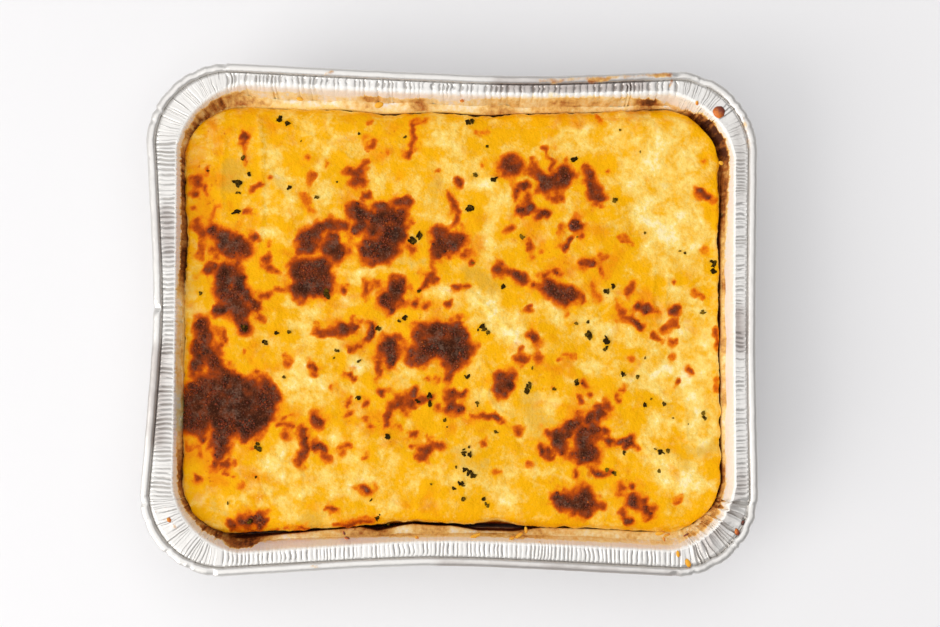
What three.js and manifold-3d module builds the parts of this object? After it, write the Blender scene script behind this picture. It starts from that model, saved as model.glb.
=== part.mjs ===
// A baked lasagne in the rectangular foil tray it was cooked in.
// Millimetres, +Z up. X runs along the tray's long side, Y along its short side, and the tray
// stands on Z = 0. The finished group is centred on its own bounding box in X and Y.

import * as THREE from "three";
import { mergeVertices } from "three/addons/utils/BufferGeometryUtils.js";
import Module from "manifold-3d";

// ---------------------------------------------------------------------------------------------
// Driving dimensions
// ---------------------------------------------------------------------------------------------

const TRAY_HEIGHT = 60;            // bench to the crown of the rolled bead
const FOIL = 0.5;                  // thickness given to the foil shell
const FLANGE_TOP = 58.5;           // upper face of the flat flange between wall and bead
const FLANGE_UNDER = FLANGE_TOP - FOIL;
const BEND_RADIUS = 2.2;           // wall to flange
const BASE_RADIUS = 5.5;           // base to wall
const BEAD_WIDTH = 4.6;            // rolled edge, measured across the rim

const PLEATS_PER_CORNER = 12;      // folds where the foil is gathered round a corner
const PLEAT_FLANGE = 0.45;         // half height of a fold on the flange
const PLEAT_WALL = 0.55;           // half depth of a fold on the corner wall
const RIB_PITCH = 2.8;             // pressed ribs across the straight flanges
const RIB_HEIGHT = 0.45;
const SIDE_STEP = 24;              // spacing of the sections along a straight side

const CRUST_TOP = 50;              // mean height of the baked top
const LONG_EDGE_DROP = 7.5;        // the top sinks this far at the long edges ...
const LONG_EDGE_REACH = 17;        // ... within this distance of them
const SHORT_EDGE_DROP = 3.2;
const SHORT_EDGE_REACH = 6;
const CRUST_CELL = 8.2;            // grid spacing of the faceted top
const CRUST_EDGE_STEPS = [0, 1.3, 3.8, 8.5];   // closer spacing next to the edge
const FILLING_GAP = 1.5;           // filling to foil, below the crust
const FILLING_BOTTOM = FOIL + 0.5;

const FLECK_SEED = 20;
const FLECK_SIDES = 6;
const FLECK_THICKNESS = 1.7;       // half of it is sunk in the crust
const FLECK_RADIUS = [1.3, 2.5];

// The tray's outlines are closed rings of four rounded corners joined by four sides. Corners and
// sides are listed anticlockwise: front right, back right, back left and front left corner, with
// the right, back, left and front side following them. `reach` is where a corner's two tangents
// meet, `trim` the angle left off each end of its arc, and `pinch` how far each side is pressed in.
const PINCH_AT = [0.42, 0.36, 0.49, 0.46];     // where along its side each pinch lies
const PINCH_SOFTNESS = 0.25;

const RIM = {
  reach: [[160.3, -134.2], [161.3, 131.3], [-159.6, 134.1], [-161.2, -133.1]],
  radius: 43.3,
  trim: 3,
  pinch: [1.2, 5.1, 5.3, 5.5],
  dents: [],
};
const BEND = {
  reach: [[148.1, -121.9], [149.3, 119.5], [-145.2, 122.8], [-146.0, -122.3]],
  radius: 41,
  trim: 10,
  pinch: [0.4, 3.1, 0.4, 5.4],
  dents: [],
};
const BASE = {
  reach: [[132.4, -105.9], [132.4, 105.9], [-131.4, 105.9], [-131.4, -105.9]],
  radius: 26,
  trim: 10,
  pinch: [0, 0, 0, 0],
  dents: [],
};
// Edge of the crust. `at` counts corners and sides alternately (0 to 1 the first corner, 1 to 2
// the first side), and `spread` is a dent's half width in the same measure.
const CRUST = {
  reach: [[143.7, -113.2], [143.9, 113.4], [-141.6, 113.4], [-141.4, -113.6]],
  radius: 34,
  trim: 6,
  pinch: [0.5, 4.0, 0.6, 4.6],
  dents: [
    { at: 2.52, depth: 3.2, spread: 0.3 },
    { at: 3.66, depth: 1.6, spread: 0.06 },
    { at: 3.45, depth: 1.0, spread: 0.05 },
    { at: 7.36, depth: 1.7, spread: 0.08 },
    { at: 7.67, depth: 2.6, spread: 0.035 },
    { at: 0.5, depth: 0.9, spread: 0.3 },
    { at: 4.5, depth: 0.6, spread: 0.3 },
  ],
};

// Where the herbs gather on the crust: centre, spread and how many flecks.
const HERB_DRIFTS = [
  { x: -112, y: 72, spread: 14, count: 5 },
  { x: -95, y: -2, spread: 12, count: 3 },
  { x: -22, y: 38, spread: 10, count: 2 },
  { x: 12, y: 84, spread: 16, count: 5 },
  { x: 16, y: -5, spread: 14, count: 3 },
  { x: 8, y: -84, spread: 9, count: 6 },
  { x: 72, y: 2, spread: 16, count: 6 },
  { x: 66, y: -34, spread: 18, count: 5 },
  { x: 106, y: -66, spread: 14, count: 3 },
  { x: 70, y: 72, spread: 16, count: 2 },
];

// ---------------------------------------------------------------------------------------------
// Small helpers
// ---------------------------------------------------------------------------------------------

const CORNERS = 4;
const RING_SPAN = 2 * CORNERS;     // one unit for each corner and each side
const { lerp, smoothstep, degToRad } = THREE.MathUtils;

function makeRandom(seed) {
  let state = seed;
  return () => {
    state = (state * 16807) % 2147483647;
    return state / 2147483647;
  };
}

// ---------------------------------------------------------------------------------------------
// Rings
// ---------------------------------------------------------------------------------------------

function blendRings(from, to, amount) {
  return {
    reach: from.reach.map(([x, y], k) => [
      lerp(x, to.reach[k][0], amount),
      lerp(y, to.reach[k][1], amount),
    ]),
    radius: lerp(from.radius, to.radius, amount),
    trim: lerp(from.trim, to.trim, amount),
    pinch: from.pinch.map((depth, k) => lerp(depth, to.pinch[k], amount)),
    dents: from.dents,
  };
}

function insetRing(ring, distance) {
  return {
    ...ring,
    reach: ring.reach.map(([x, y]) => [x - Math.sign(x) * distance, y - Math.sign(y) * distance]),
    radius: ring.radius - distance,
  };
}

function cornerPoint(ring, corner, along) {
  const [x, y] = ring.reach[corner];
  const centre = new THREE.Vector2(x - Math.sign(x) * ring.radius, y - Math.sign(y) * ring.radius);
  const start = -90 + 90 * corner + ring.trim;
  const end = 90 * corner - ring.trim;
  const angle = degToRad(lerp(start, end, along));
  return centre.add(new THREE.Vector2(Math.cos(angle), Math.sin(angle)).multiplyScalar(ring.radius));
}

// 1 at the pinch, falling to 0 at both ends of the side along two nearly straight slopes.
function pinchShape(along, at) {
  const away = along < at ? (at - along) / at : (along - at) / (1 - at);
  const slope = (t) => Math.hypot(t, PINCH_SOFTNESS);
  return (slope(1) - slope(away)) / (slope(1) - slope(0));
}

function ringPoint(ring, place) {
  const wrapped = ((place % RING_SPAN) + RING_SPAN) % RING_SPAN;
  const corner = Math.floor(wrapped / 2);
  const along = wrapped - 2 * corner;
  let point;
  if (along < 1) {
    point = cornerPoint(ring, corner, along);
  } else {
    const from = cornerPoint(ring, corner, 1);
    const to = cornerPoint(ring, (corner + 1) % CORNERS, 0);
    const inward = to.clone().sub(from).normalize().rotateAround(new THREE.Vector2(), Math.PI / 2);
    const depth = ring.pinch[corner] * pinchShape(along - 1, PINCH_AT[corner]);
    point = from.lerp(to, along - 1).addScaledVector(inward, depth);
  }
  for (const { at, depth, spread } of ring.dents) {
    const offset = Math.abs(wrapped - at);
    const gap = Math.min(offset, RING_SPAN - offset) / spread;
    point.addScaledVector(point.clone().normalize(), -depth * Math.exp(-gap * gap));
  }
  return point;
}

function sideLength(side) {
  return cornerPoint(RIM, side, 1).distanceTo(cornerPoint(RIM, (side + 1) % CORNERS, 0));
}

// Places round a ring. Corners always get two sections a pleat, sides `sideCount` of them.
// `fold` is +1 on the crest of a pleat or rib, -1 in the valley of a pleat and 0 elsewhere.
function ringSections(sideCount, ribbed) {
  const sections = [];
  for (let k = 0; k < CORNERS; k++) {
    const cornerCount = 2 * PLEATS_PER_CORNER;
    for (let i = 0; i < cornerCount; i++) {
      const fold = i === 0 ? 0 : (i % 2 ? 1 : -1);
      sections.push({ place: 2 * k + i / cornerCount, fold, corner: true });
    }
    const count = sideCount(k);
    for (let i = 0; i < count; i++) {
      sections.push({ place: 2 * k + 1 + i / count, fold: ribbed ? i % 2 : 0, corner: false });
    }
  }
  return sections;
}

const PLAIN_SECTIONS = ringSections((side) => Math.round(sideLength(side) / SIDE_STEP), false);
const RIBBED_SECTIONS = ringSections((side) => 2 * Math.round(sideLength(side) / RIB_PITCH), true);

// ---------------------------------------------------------------------------------------------
// Closed skins made of rows of points
// ---------------------------------------------------------------------------------------------

class Skin {
  constructor() {
    this.positions = [];
    this.indices = [];
  }

  addPoint(x, y, z) {
    this.positions.push(x, y, z);
    return this.positions.length / 3 - 1;
  }

  // Joins two closed rows whose points carry increasing places, though not equally many of them.
  join(lower, upper) {
    let i = 0;
    let j = 0;
    while (i < lower.length || j < upper.length) {
      const a = lower[i % lower.length].index;
      const b = upper[j % upper.length].index;
      const nextLower = i < lower.length ? placeAfter(lower, i) : Infinity;
      const nextUpper = j < upper.length ? placeAfter(upper, j) : Infinity;
      if (nextLower <= nextUpper) {
        i++;
        this.indices.push(a, lower[i % lower.length].index, b);
      } else {
        j++;
        this.indices.push(a, upper[j % upper.length].index, b);
      }
    }
  }

  // Closes a flat row with a fan; `upwards` says which way it faces.
  cap(row, upwards) {
    const z = this.positions[3 * row[0].index + 2];
    const centre = this.addPoint(0, 0, z);
    row.forEach(({ index }, i) => {
      const next = row[(i + 1) % row.length].index;
      this.indices.push(...(upwards ? [index, next, centre] : [next, index, centre]));
    });
  }

  geometry() {
    const geometry = new THREE.BufferGeometry();
    geometry.setAttribute("position", new THREE.Float32BufferAttribute(this.positions, 3));
    geometry.setIndex(this.indices);
    return geometry;
  }
}

function placeAfter(row, i) {
  return i + 1 < row.length ? row[i + 1].place : row[0].place + RING_SPAN;
}

// ---------------------------------------------------------------------------------------------
// Foil tray
// ---------------------------------------------------------------------------------------------

function outwardAt(place) {
  return ringPoint(RIM, place).sub(ringPoint(BASE, place)).normalize();
}

// One row of the tray's skin. `lift` raises the crests of folds, `push` moves them outwards.
function addTrayRow(skin, { ring, z, lift = 0, push = 0, ribbed = false }) {
  const sections = ribbed ? RIBBED_SECTIONS : PLAIN_SECTIONS;
  return sections.map(({ place, fold, corner }) => {
    const point = ringPoint(ring, place);
    if (corner) {
      point.addScaledVector(outwardAt(place), push * fold);
    }
    const rise = corner ? lift * fold : (ribbed ? RIB_HEIGHT * fold : 0);
    return { place, index: skin.addPoint(point.x, point.y, z + rise) };
  });
}

function trayRows() {
  const wall = (amount) => blendRings(BASE, BEND, amount);
  const wallFoot = 0.08;
  const wallHead = 0.96;
  const footHeight = BASE_RADIUS;
  const headHeight = FLANGE_TOP - BEND_RADIUS - 0.5;
  const edge = (distance) => insetRing(RIM, distance);
  const inside = [
    { ring: insetRing(BASE, BASE_RADIUS), z: FOIL },
    { ring: insetRing(BASE, 0.3 * BASE_RADIUS), z: FOIL + 0.28 * BASE_RADIUS },
    { ring: wall(wallFoot), z: footHeight, push: 0.5 * PLEAT_WALL },
    { ring: wall(wallHead), z: headHeight, push: PLEAT_WALL },
    { ring: BEND, z: FLANGE_TOP - 0.35 * BEND_RADIUS, push: 0.7 * PLEAT_WALL, lift: 0.1 },
    { ring: insetRing(BEND, -0.8 * BEND_RADIUS), z: FLANGE_TOP, lift: 0.4 * PLEAT_FLANGE },
    { ring: insetRing(BEND, -1.2 * BEND_RADIUS), z: FLANGE_TOP, lift: 0.6 * PLEAT_FLANGE, ribbed: true },
    { ring: edge(1.15 * BEAD_WIDTH), z: FLANGE_TOP, lift: PLEAT_FLANGE, ribbed: true },
    { ring: edge(BEAD_WIDTH), z: FLANGE_TOP, lift: 0.7 * PLEAT_FLANGE },
  ];
  const bead = [
    { ring: edge(0.74 * BEAD_WIDTH), z: TRAY_HEIGHT - 0.3 },
    { ring: edge(0.44 * BEAD_WIDTH), z: TRAY_HEIGHT },
    { ring: edge(0.12 * BEAD_WIDTH), z: TRAY_HEIGHT - 0.8 },
    { ring: RIM, z: TRAY_HEIGHT - 2.3 },
    { ring: edge(0.12 * BEAD_WIDTH), z: TRAY_HEIGHT - 3.6 },
    { ring: edge(FOIL + 0.06), z: TRAY_HEIGHT - 2.3 },
    { ring: edge(0.12 * BEAD_WIDTH + FOIL), z: TRAY_HEIGHT - 1.1 },
    { ring: edge(0.5 * BEAD_WIDTH), z: TRAY_HEIGHT - FOIL - 0.05 },
    { ring: edge(BEAD_WIDTH - 0.1), z: FLANGE_UNDER, lift: 0.7 * PLEAT_FLANGE },
  ];
  const underside = [
    { ring: insetRing(BEND, -0.8 * BEND_RADIUS - 0.15), z: FLANGE_UNDER, lift: 0.4 * PLEAT_FLANGE },
    {
      ring: insetRing(BEND, -FOIL),
      z: FLANGE_UNDER - 0.45 * BEND_RADIUS,
      push: 0.7 * PLEAT_WALL,
      lift: 0.1,
    },
    { ring: insetRing(wall(wallHead), -FOIL), z: headHeight - 0.15, push: PLEAT_WALL },
    { ring: insetRing(wall(wallFoot), -FOIL), z: footHeight - 0.15, push: 0.5 * PLEAT_WALL },
    { ring: insetRing(BASE, 0.24 * BASE_RADIUS), z: 0.25 * BASE_RADIUS },
    { ring: insetRing(BASE, BASE_RADIUS), z: 0 },
  ];
  return [...inside, ...bead, ...underside];
}

function makeTrayGeometry() {
  const skin = new Skin();
  const rows = trayRows().map((row) => addTrayRow(skin, row));
  for (let i = 0; i + 1 < rows.length; i++) {
    skin.join(rows[i + 1], rows[i]);
  }
  skin.cap(rows[0], true);
  skin.cap(rows[rows.length - 1], false);
  return skin.geometry();
}

// ---------------------------------------------------------------------------------------------
// Lasagne
// ---------------------------------------------------------------------------------------------

const CRUST_HALF_X = (CRUST.reach[0][0] - CRUST.reach[2][0]) / 2;
const CRUST_HALF_Y = (CRUST.reach[1][1] - CRUST.reach[0][1]) / 2;

// Slow swells of the baked top and the ripples of the pasta sheets beneath it.
function crustRelief(x, y) {
  const swell = 0.7 * Math.sin(x / 34 + 0.6) * Math.cos(y / 29 - 0.4);
  const sheets = 0.45 * Math.sin((x + 1.6 * y) / 21 + 1.1);
  const ripple = 0.3 * Math.cos((1.7 * x - y) / 15 + 0.5);
  return swell + sheets + ripple;
}

// 1 at an edge, 0 from `reach` inwards, with the round shoulder of a quarter ellipse.
function edgeFall(distance, reach) {
  const away = 1 - Math.min(distance / reach, 1);
  return 1 - Math.sqrt(1 - away * away);
}

function crustHeight(x, y, fromShortEdge, fromLongEdge) {
  const drop = Math.hypot(
    SHORT_EDGE_DROP * edgeFall(fromShortEdge, SHORT_EDGE_REACH),
    LONG_EDGE_DROP * edgeFall(fromLongEdge, LONG_EDGE_REACH),
  );
  const calm = smoothstep(Math.min(fromShortEdge, fromLongEdge), 0, 12);
  return CRUST_TOP + crustRelief(x, y) * calm - drop;
}

// Fractions from 0 to 1 across the crust, closer together next to its two edges.
function gradedFractions(halfSpan) {
  const margin = CRUST_EDGE_STEPS[CRUST_EDGE_STEPS.length - 1];
  const inner = Math.round((2 * (halfSpan - margin)) / CRUST_CELL);
  const near = CRUST_EDGE_STEPS.map((step) => step / (2 * halfSpan));
  const start = near[near.length - 1];
  const middle = Array.from({ length: inner - 1 }, (_, i) => lerp(start, 1 - start, (i + 1) / inner));
  return [...near, ...middle, ...near.map((fraction) => 1 - fraction).reverse()];
}

// Place on the ring for a fraction of the way from one corner's middle to the next one's.
function edgePlace(corner, fraction, cornerShare) {
  const start = 2 * corner + 0.5;
  if (fraction < cornerShare) {
    return start + 0.5 * (fraction / cornerShare);
  }
  if (fraction > 1 - cornerShare) {
    return start + 2 - 0.5 * ((1 - fraction) / cornerShare);
  }
  return start + 0.5 + (fraction - cornerShare) / (1 - 2 * cornerShare);
}

function makeFillingGeometry() {
  const skin = new Skin();
  const across = gradedFractions(CRUST_HALF_X);
  const deep = gradedFractions(CRUST_HALF_Y);
  const halfArc = (CRUST.radius * Math.PI) / 4;
  const longShare = halfArc / (2 * CRUST_HALF_X - 2 * CRUST.radius + 2 * halfArc);
  const shortShare = halfArc / (2 * CRUST_HALF_Y - 2 * CRUST.radius + 2 * halfArc);

  // The four edges of the grid: their places on the ring and the points there.
  const placeOf = {
    front: (u) => edgePlace(3, u, longShare),
    right: (v) => edgePlace(0, v, shortShare),
    back: (u) => edgePlace(1, 1 - u, longShare),
    left: (v) => edgePlace(2, 1 - v, shortShare),
  };
  const pointOf = (edge, fraction) => ringPoint(CRUST, placeOf[edge](fraction));
  const cornersOf = [pointOf("front", 0), pointOf("front", 1), pointOf("back", 0), pointOf("back", 1)];

  const gridPoint = (u, v) => {
    const ruled = (axis) => {
      const straight = lerp(pointOf("front", u)[axis], pointOf("back", u)[axis], v)
        + lerp(pointOf("left", v)[axis], pointOf("right", v)[axis], u);
      const low = lerp(cornersOf[0][axis], cornersOf[1][axis], u);
      const high = lerp(cornersOf[2][axis], cornersOf[3][axis], u);
      return straight - lerp(low, high, v);
    };
    return [ruled("x"), ruled("y")];
  };

  const grid = deep.map((v) => across.map((u) => {
    const [x, y] = gridPoint(u, v);
    const fromShortEdge = Math.min(u, 1 - u) * 2 * CRUST_HALF_X;
    const fromLongEdge = Math.min(v, 1 - v) * 2 * CRUST_HALF_Y;
    return skin.addPoint(x, y, crustHeight(x, y, fromShortEdge, fromLongEdge));
  }));
  const columns = across.length - 1;
  const rows = deep.length - 1;
  for (let j = 0; j < rows; j++) {
    for (let i = 0; i < columns; i++) {
      const [a, b, c, d] = [grid[j][i], grid[j][i + 1], grid[j + 1][i + 1], grid[j + 1][i]];
      skin.indices.push(...((i + j) % 2 ? [a, b, c, a, c, d] : [a, b, d, b, c, d]));
    }
  }

  // The rim of the grid as one closed row, starting at the front left corner.
  const rim = [];
  for (let i = 0; i < columns; i++) {
    rim.push({ place: placeOf.front(across[i]), index: grid[0][i] });
  }
  for (let j = 0; j < rows; j++) {
    rim.push({ place: placeOf.right(deep[j]) + RING_SPAN, index: grid[j][columns] });
  }
  for (let i = columns; i > 0; i--) {
    rim.push({ place: placeOf.back(across[i]) + RING_SPAN, index: grid[rows][i] });
  }
  for (let j = rows; j > 0; j--) {
    rim.push({ place: placeOf.left(deep[j]) + RING_SPAN, index: grid[j][0] });
  }

  // Below the crust the filling follows the wall of the tray down to its base.
  const wallHeight = FLANGE_TOP;
  const sideRow = (z) => rim.map(({ place }) => {
    const point = ringPoint(insetRing(blendRings(BASE, BEND, z / wallHeight), FILLING_GAP), place);
    return { place, index: skin.addPoint(point.x, point.y, z) };
  });
  const shoulder = sideRow(0.6 * CRUST_TOP);
  const heel = sideRow(BASE_RADIUS + 2);
  const foot = rim.map(({ place }) => {
    const point = ringPoint(insetRing(BASE, BASE_RADIUS + 1), place);
    return { place, index: skin.addPoint(point.x, point.y, FILLING_BOTTOM) };
  });
  skin.join(shoulder, rim);
  skin.join(heel, shoulder);
  skin.join(foot, heel);
  skin.cap(foot, false);
  return skin.geometry();
}

// ---------------------------------------------------------------------------------------------
// Herb flecks, fused to the crust
// ---------------------------------------------------------------------------------------------

function makeFleckGeometry(random) {
  const radius = lerp(FLECK_RADIUS[0], FLECK_RADIUS[1], random() ** 2);
  const fleck = new THREE.CylinderGeometry(0.7 * radius, radius, FLECK_THICKNESS, FLECK_SIDES);
  fleck.rotateX(Math.PI / 2);
  fleck.scale(1 + 0.5 * random(), 0.7 + 0.3 * random(), 1);
  fleck.rotateX(degToRad(lerp(-10, 10, random())));
  fleck.rotateZ(2 * Math.PI * random());
  return fleck;
}

function placeFlecks() {
  const random = makeRandom(FLECK_SEED);
  const placed = [];
  for (const { x, y, spread, count } of HERB_DRIFTS) {
    for (let i = 0; i < count; i++) {
      const fleck = makeFleckGeometry(random);
      let spot;
      do {
        const angle = 2 * Math.PI * random();
        const away = spread * Math.sqrt(random());
        spot = new THREE.Vector2(x + away * Math.cos(angle), y + away * Math.sin(angle));
      } while (placed.some((other) => other.spot.distanceTo(spot) < 3 * FLECK_RADIUS[1]));
      fleck.translate(spot.x, spot.y, CRUST_TOP + crustRelief(spot.x, spot.y) + 0.1);
      placed.push({ spot, fleck });
    }
  }
  return placed.map(({ fleck }) => fleck);
}

// ---------------------------------------------------------------------------------------------
// Joining solids
// ---------------------------------------------------------------------------------------------

const manifold = await Module();
manifold.setup();

function toSolid(geometry) {
  const bare = geometry.clone();
  bare.deleteAttribute("normal");
  bare.deleteAttribute("uv");
  const merged = mergeVertices(bare, 1e-4);
  return new manifold.Manifold(new manifold.Mesh({
    numProp: 3,
    vertProperties: new Float32Array(merged.getAttribute("position").array),
    triVerts: new Uint32Array(merged.getIndex().array),
  }));
}

function toGeometry(solid) {
  const mesh = solid.getMesh();
  const geometry = new THREE.BufferGeometry();
  geometry.setAttribute("position", new THREE.BufferAttribute(mesh.vertProperties, 3));
  geometry.setIndex(new THREE.BufferAttribute(mesh.triVerts, 1));
  return geometry;
}

function makeLasagneGeometry() {
  let solid = toSolid(makeFillingGeometry());
  for (const fleck of placeFlecks()) {
    solid = solid.add(toSolid(fleck));
  }
  return toGeometry(solid);
}

// ---------------------------------------------------------------------------------------------
// The meal
// ---------------------------------------------------------------------------------------------

function makeMesh(name, geometry, material) {
  geometry.computeVertexNormals();
  const mesh = new THREE.Mesh(geometry, material);
  mesh.name = name;
  return mesh;
}

const foilMaterial = new THREE.MeshStandardMaterial({ color: 0xd8d8d6, roughness: 0.3, metalness: 1 });
const crustMaterial = new THREE.MeshStandardMaterial({ color: 0xefb03c, roughness: 0.5, metalness: 0 });

const meal = new THREE.Group();
meal.add(makeMesh("foil_tray", makeTrayGeometry(), foilMaterial));
meal.add(makeMesh("lasagne", makeLasagneGeometry(), crustMaterial));

const middle = new THREE.Box3().setFromObject(meal).getCenter(new THREE.Vector3());
meal.position.set(-middle.x, -middle.y, 0);
meal.updateMatrixWorld(true);

export default meal;
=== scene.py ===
"""A baked lasagne in the foil tray it was cooked in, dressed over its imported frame.

Sizes in the classes are millimetres on the frame's own axes, and meshes are written in metres.
Places given as (across, down) are in the camera's own picture of 940 by 627, and are cast from the
camera onto the level that carries the thing they place.
"""
import logging
import math
from collections.abc import Iterator, Sequence
from contextlib import contextmanager
from dataclasses import dataclass, field, replace
from enum import Enum

import bpy
import numpy as np
from mathutils import Matrix, Vector


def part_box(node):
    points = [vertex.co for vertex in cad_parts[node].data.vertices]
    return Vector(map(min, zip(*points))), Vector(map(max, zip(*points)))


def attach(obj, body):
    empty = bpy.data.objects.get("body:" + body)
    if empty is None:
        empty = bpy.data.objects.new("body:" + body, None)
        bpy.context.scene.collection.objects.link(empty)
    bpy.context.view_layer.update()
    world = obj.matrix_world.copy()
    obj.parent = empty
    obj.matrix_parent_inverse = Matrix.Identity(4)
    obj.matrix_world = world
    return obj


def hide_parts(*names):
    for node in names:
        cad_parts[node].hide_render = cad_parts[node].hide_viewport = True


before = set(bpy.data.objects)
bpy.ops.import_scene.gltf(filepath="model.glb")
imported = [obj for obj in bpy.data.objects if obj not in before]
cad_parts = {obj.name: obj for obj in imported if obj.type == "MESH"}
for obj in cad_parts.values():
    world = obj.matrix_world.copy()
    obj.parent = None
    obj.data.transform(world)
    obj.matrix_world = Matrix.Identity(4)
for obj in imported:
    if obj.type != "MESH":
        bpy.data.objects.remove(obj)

Array = np.ndarray
Pixel = tuple[float, float]
Rgb = tuple[float, float, float]

MM = 0.001
WELD = 0.002         # millimetres within which two vertices are one
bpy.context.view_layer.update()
LOG = logging.getLogger("lasagne")


# --- Small mathematics ---

def smooth_step(value: Array, low: float, high: float) -> Array:
    """Eases from 0 at low to 1 at high.

    Args:
        value: Numbers to ease.
        low: Where the result leaves 0.
        high: Where the result reaches 1.

    Returns:
        The eased numbers, between 0 and 1.
    """
    share = np.clip((np.asarray(value, float) - low) / (high - low), 0.0, 1.0)
    return share * share * (3.0 - 2.0 * share)


def srgb(red: float, green: float, blue: float) -> tuple[float, float, float, float]:
    """A display colour, 0 to 255 a channel, as the linear colour that shaders take."""
    channels = [value / 255.0 for value in (red, green, blue)]
    linear = [c / 12.92 if c <= 0.04045 else ((c + 0.055) / 1.055) ** 2.4 for c in channels]
    return (*linear, 1.0)


def distance_to_path(points: Array, path: Array) -> Array:
    """Distance from each point to a path of straight pieces, or to its one point.

    Args:
        points: Places, one a row.
        path: The path's places, one a row.

    Returns:
        One distance for each point.
    """
    if len(path) == 1:
        return np.linalg.norm(points - path[0], axis=1)
    nearest = np.full(len(points), np.inf)
    for start, end in zip(path[:-1], path[1:]):
        along = end - start
        share = np.clip((points - start) @ along / (along @ along), 0.0, 1.0)
        nearest = np.minimum(nearest, np.linalg.norm(points - start - share[:, None] * along, axis=1))
    return nearest


class Noise:
    """A smooth field over the plane, between about -1 and 1, that its seed repeats exactly."""

    TABLE = 256
    TURN = 0.65          # radians from one octave to the next, so that no grid shows

    def __init__(self, seed: int) -> None:
        """Draws the lattice of values."""
        self.table = np.random.default_rng(seed).uniform(-1.0, 1.0, (self.TABLE, self.TABLE))

    def at(self, x: Array, y: Array, cell: float) -> Array:
        """The field at places, for lattice cells of one size.

        Args:
            x: First coordinates.
            y: Second coordinates.
            cell: Size of a lattice cell, in the coordinates' unit.

        Returns:
            One value for each place.
        """
        u, v = np.asarray(x, float) / cell, np.asarray(y, float) / cell
        i, j = np.floor(u).astype(int), np.floor(v).astype(int)
        fu, fv = ((f * f * f * (f * (f * 6.0 - 15.0) + 10.0)) for f in (u - i, v - j))
        table, size = self.table, self.TABLE
        low = table[i % size, j % size] * (1 - fu) + table[(i + 1) % size, j % size] * fu
        high = table[i % size, (j + 1) % size] * (1 - fu) + table[(i + 1) % size, (j + 1) % size] * fu
        return low * (1 - fv) + high * fv

    def fractal(self, x: Array, y: Array, cell: float, octaves: int = 3) -> Array:
        """Octaves of the field, each half the size and half the height of the one before.

        Args:
            x: First coordinates.
            y: Second coordinates.
            cell: Cell size of the first octave.
            octaves: How many octaves are summed.

        Returns:
            One value for each place, between about -1 and 1.
        """
        total = np.zeros(np.broadcast(x, y).shape)
        reach = 0.0
        for octave in range(octaves):
            turn = octave * self.TURN
            share = 0.5 ** octave
            across = x * math.cos(turn) - y * math.sin(turn) + 37.0 * octave
            deep = x * math.sin(turn) + y * math.cos(turn)
            total = total + share * self.at(across, deep, cell * share)
            reach += share
        return total / reach


# --- Camera ---

@dataclass(frozen=True)
class OverheadCamera:
    """The camera above the meal, and the way from a place in its picture to one on the meal."""

    eye: tuple[float, float, float] = (-14.17, -31.11, 806.86)
    lean: tuple[float, float] = (1.8, 2.6)      # degrees off straight down, towards +X and +Y
    lens: float = 55.0
    sensor: float = 36.0
    picture: tuple[int, int] = (940, 627)

    def axes(self) -> Array:
        """The camera's right, up and backward directions as the columns of a matrix."""
        lean_x, lean_y = (math.tan(math.radians(angle)) for angle in self.lean)
        back = np.array([-lean_x, -lean_y, 1.0])
        back /= np.linalg.norm(back)
        right = np.cross([0.0, 1.0, 0.0], back)
        right /= np.linalg.norm(right)
        return np.column_stack([right, np.cross(back, right), back])

    def focal(self) -> float:
        """The lens's length in picture units."""
        return self.lens / self.sensor * self.picture[0]

    def cast(self, pixels: Sequence[Pixel] | Array, level: float) -> Array:
        """Finds the places on a level plane that show at places in the picture.

        Args:
            pixels: Places in the picture, across and down.
            level: Height of the plane.

        Returns:
            One (x, y) row for each place.
        """
        across, down = np.atleast_2d(np.asarray(pixels, float)).T
        width, height = self.picture
        straight = np.full(len(across), -1.0)
        rays = np.column_stack([
            (across - width / 2) / self.focal(),
            (height / 2 - down) / self.focal(),
            straight,
        ]) @ self.axes().T
        eye = np.array(self.eye)
        return (eye + rays * ((level - eye[2]) / rays[:, 2:3]))[:, :2]

    def unit_at(self, level: float) -> float:
        """Millimetres that one picture unit spans at a height."""
        return (self.eye[2] - level) / self.focal()

    def build(self) -> None:
        """Makes the camera and gives it to the scene."""
        deselect_all()
        bpy.ops.object.camera_add(location=[MM * value for value in self.eye])
        camera = bpy.context.active_object
        camera.name = "overhead_camera"
        camera.rotation_euler = Matrix(self.axes().tolist()).to_euler()
        camera.data.lens = self.lens
        camera.data.sensor_width = self.sensor
        camera.data.sensor_fit = "HORIZONTAL"
        camera.data.clip_start = 0.05
        camera.data.clip_end = 20.0
        bpy.context.scene.camera = camera


# --- Rings: the tray's rounded outlines ---

CORNERS = 4
RING_SPAN = 2 * CORNERS      # one unit for each corner and one for each side
RING_UNIT = 60.0             # rough length of one unit along the rim
PINCH_AT = np.array([0.42, 0.36, 0.49, 0.46])      # share of each side at which it is pinched in most
PINCH_SOFTNESS = 0.25                              # how round the point of a pinch is
SIDE_WAYS = np.array([(0, 1), (-1, 0), (0, -1), (1, 0)])      # the way each side runs


@dataclass(frozen=True)
class Dent:
    """A place where a ring is pressed towards the middle of the tray."""

    at: float            # place on the ring
    depth: float
    spread: float        # in places on the ring


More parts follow.
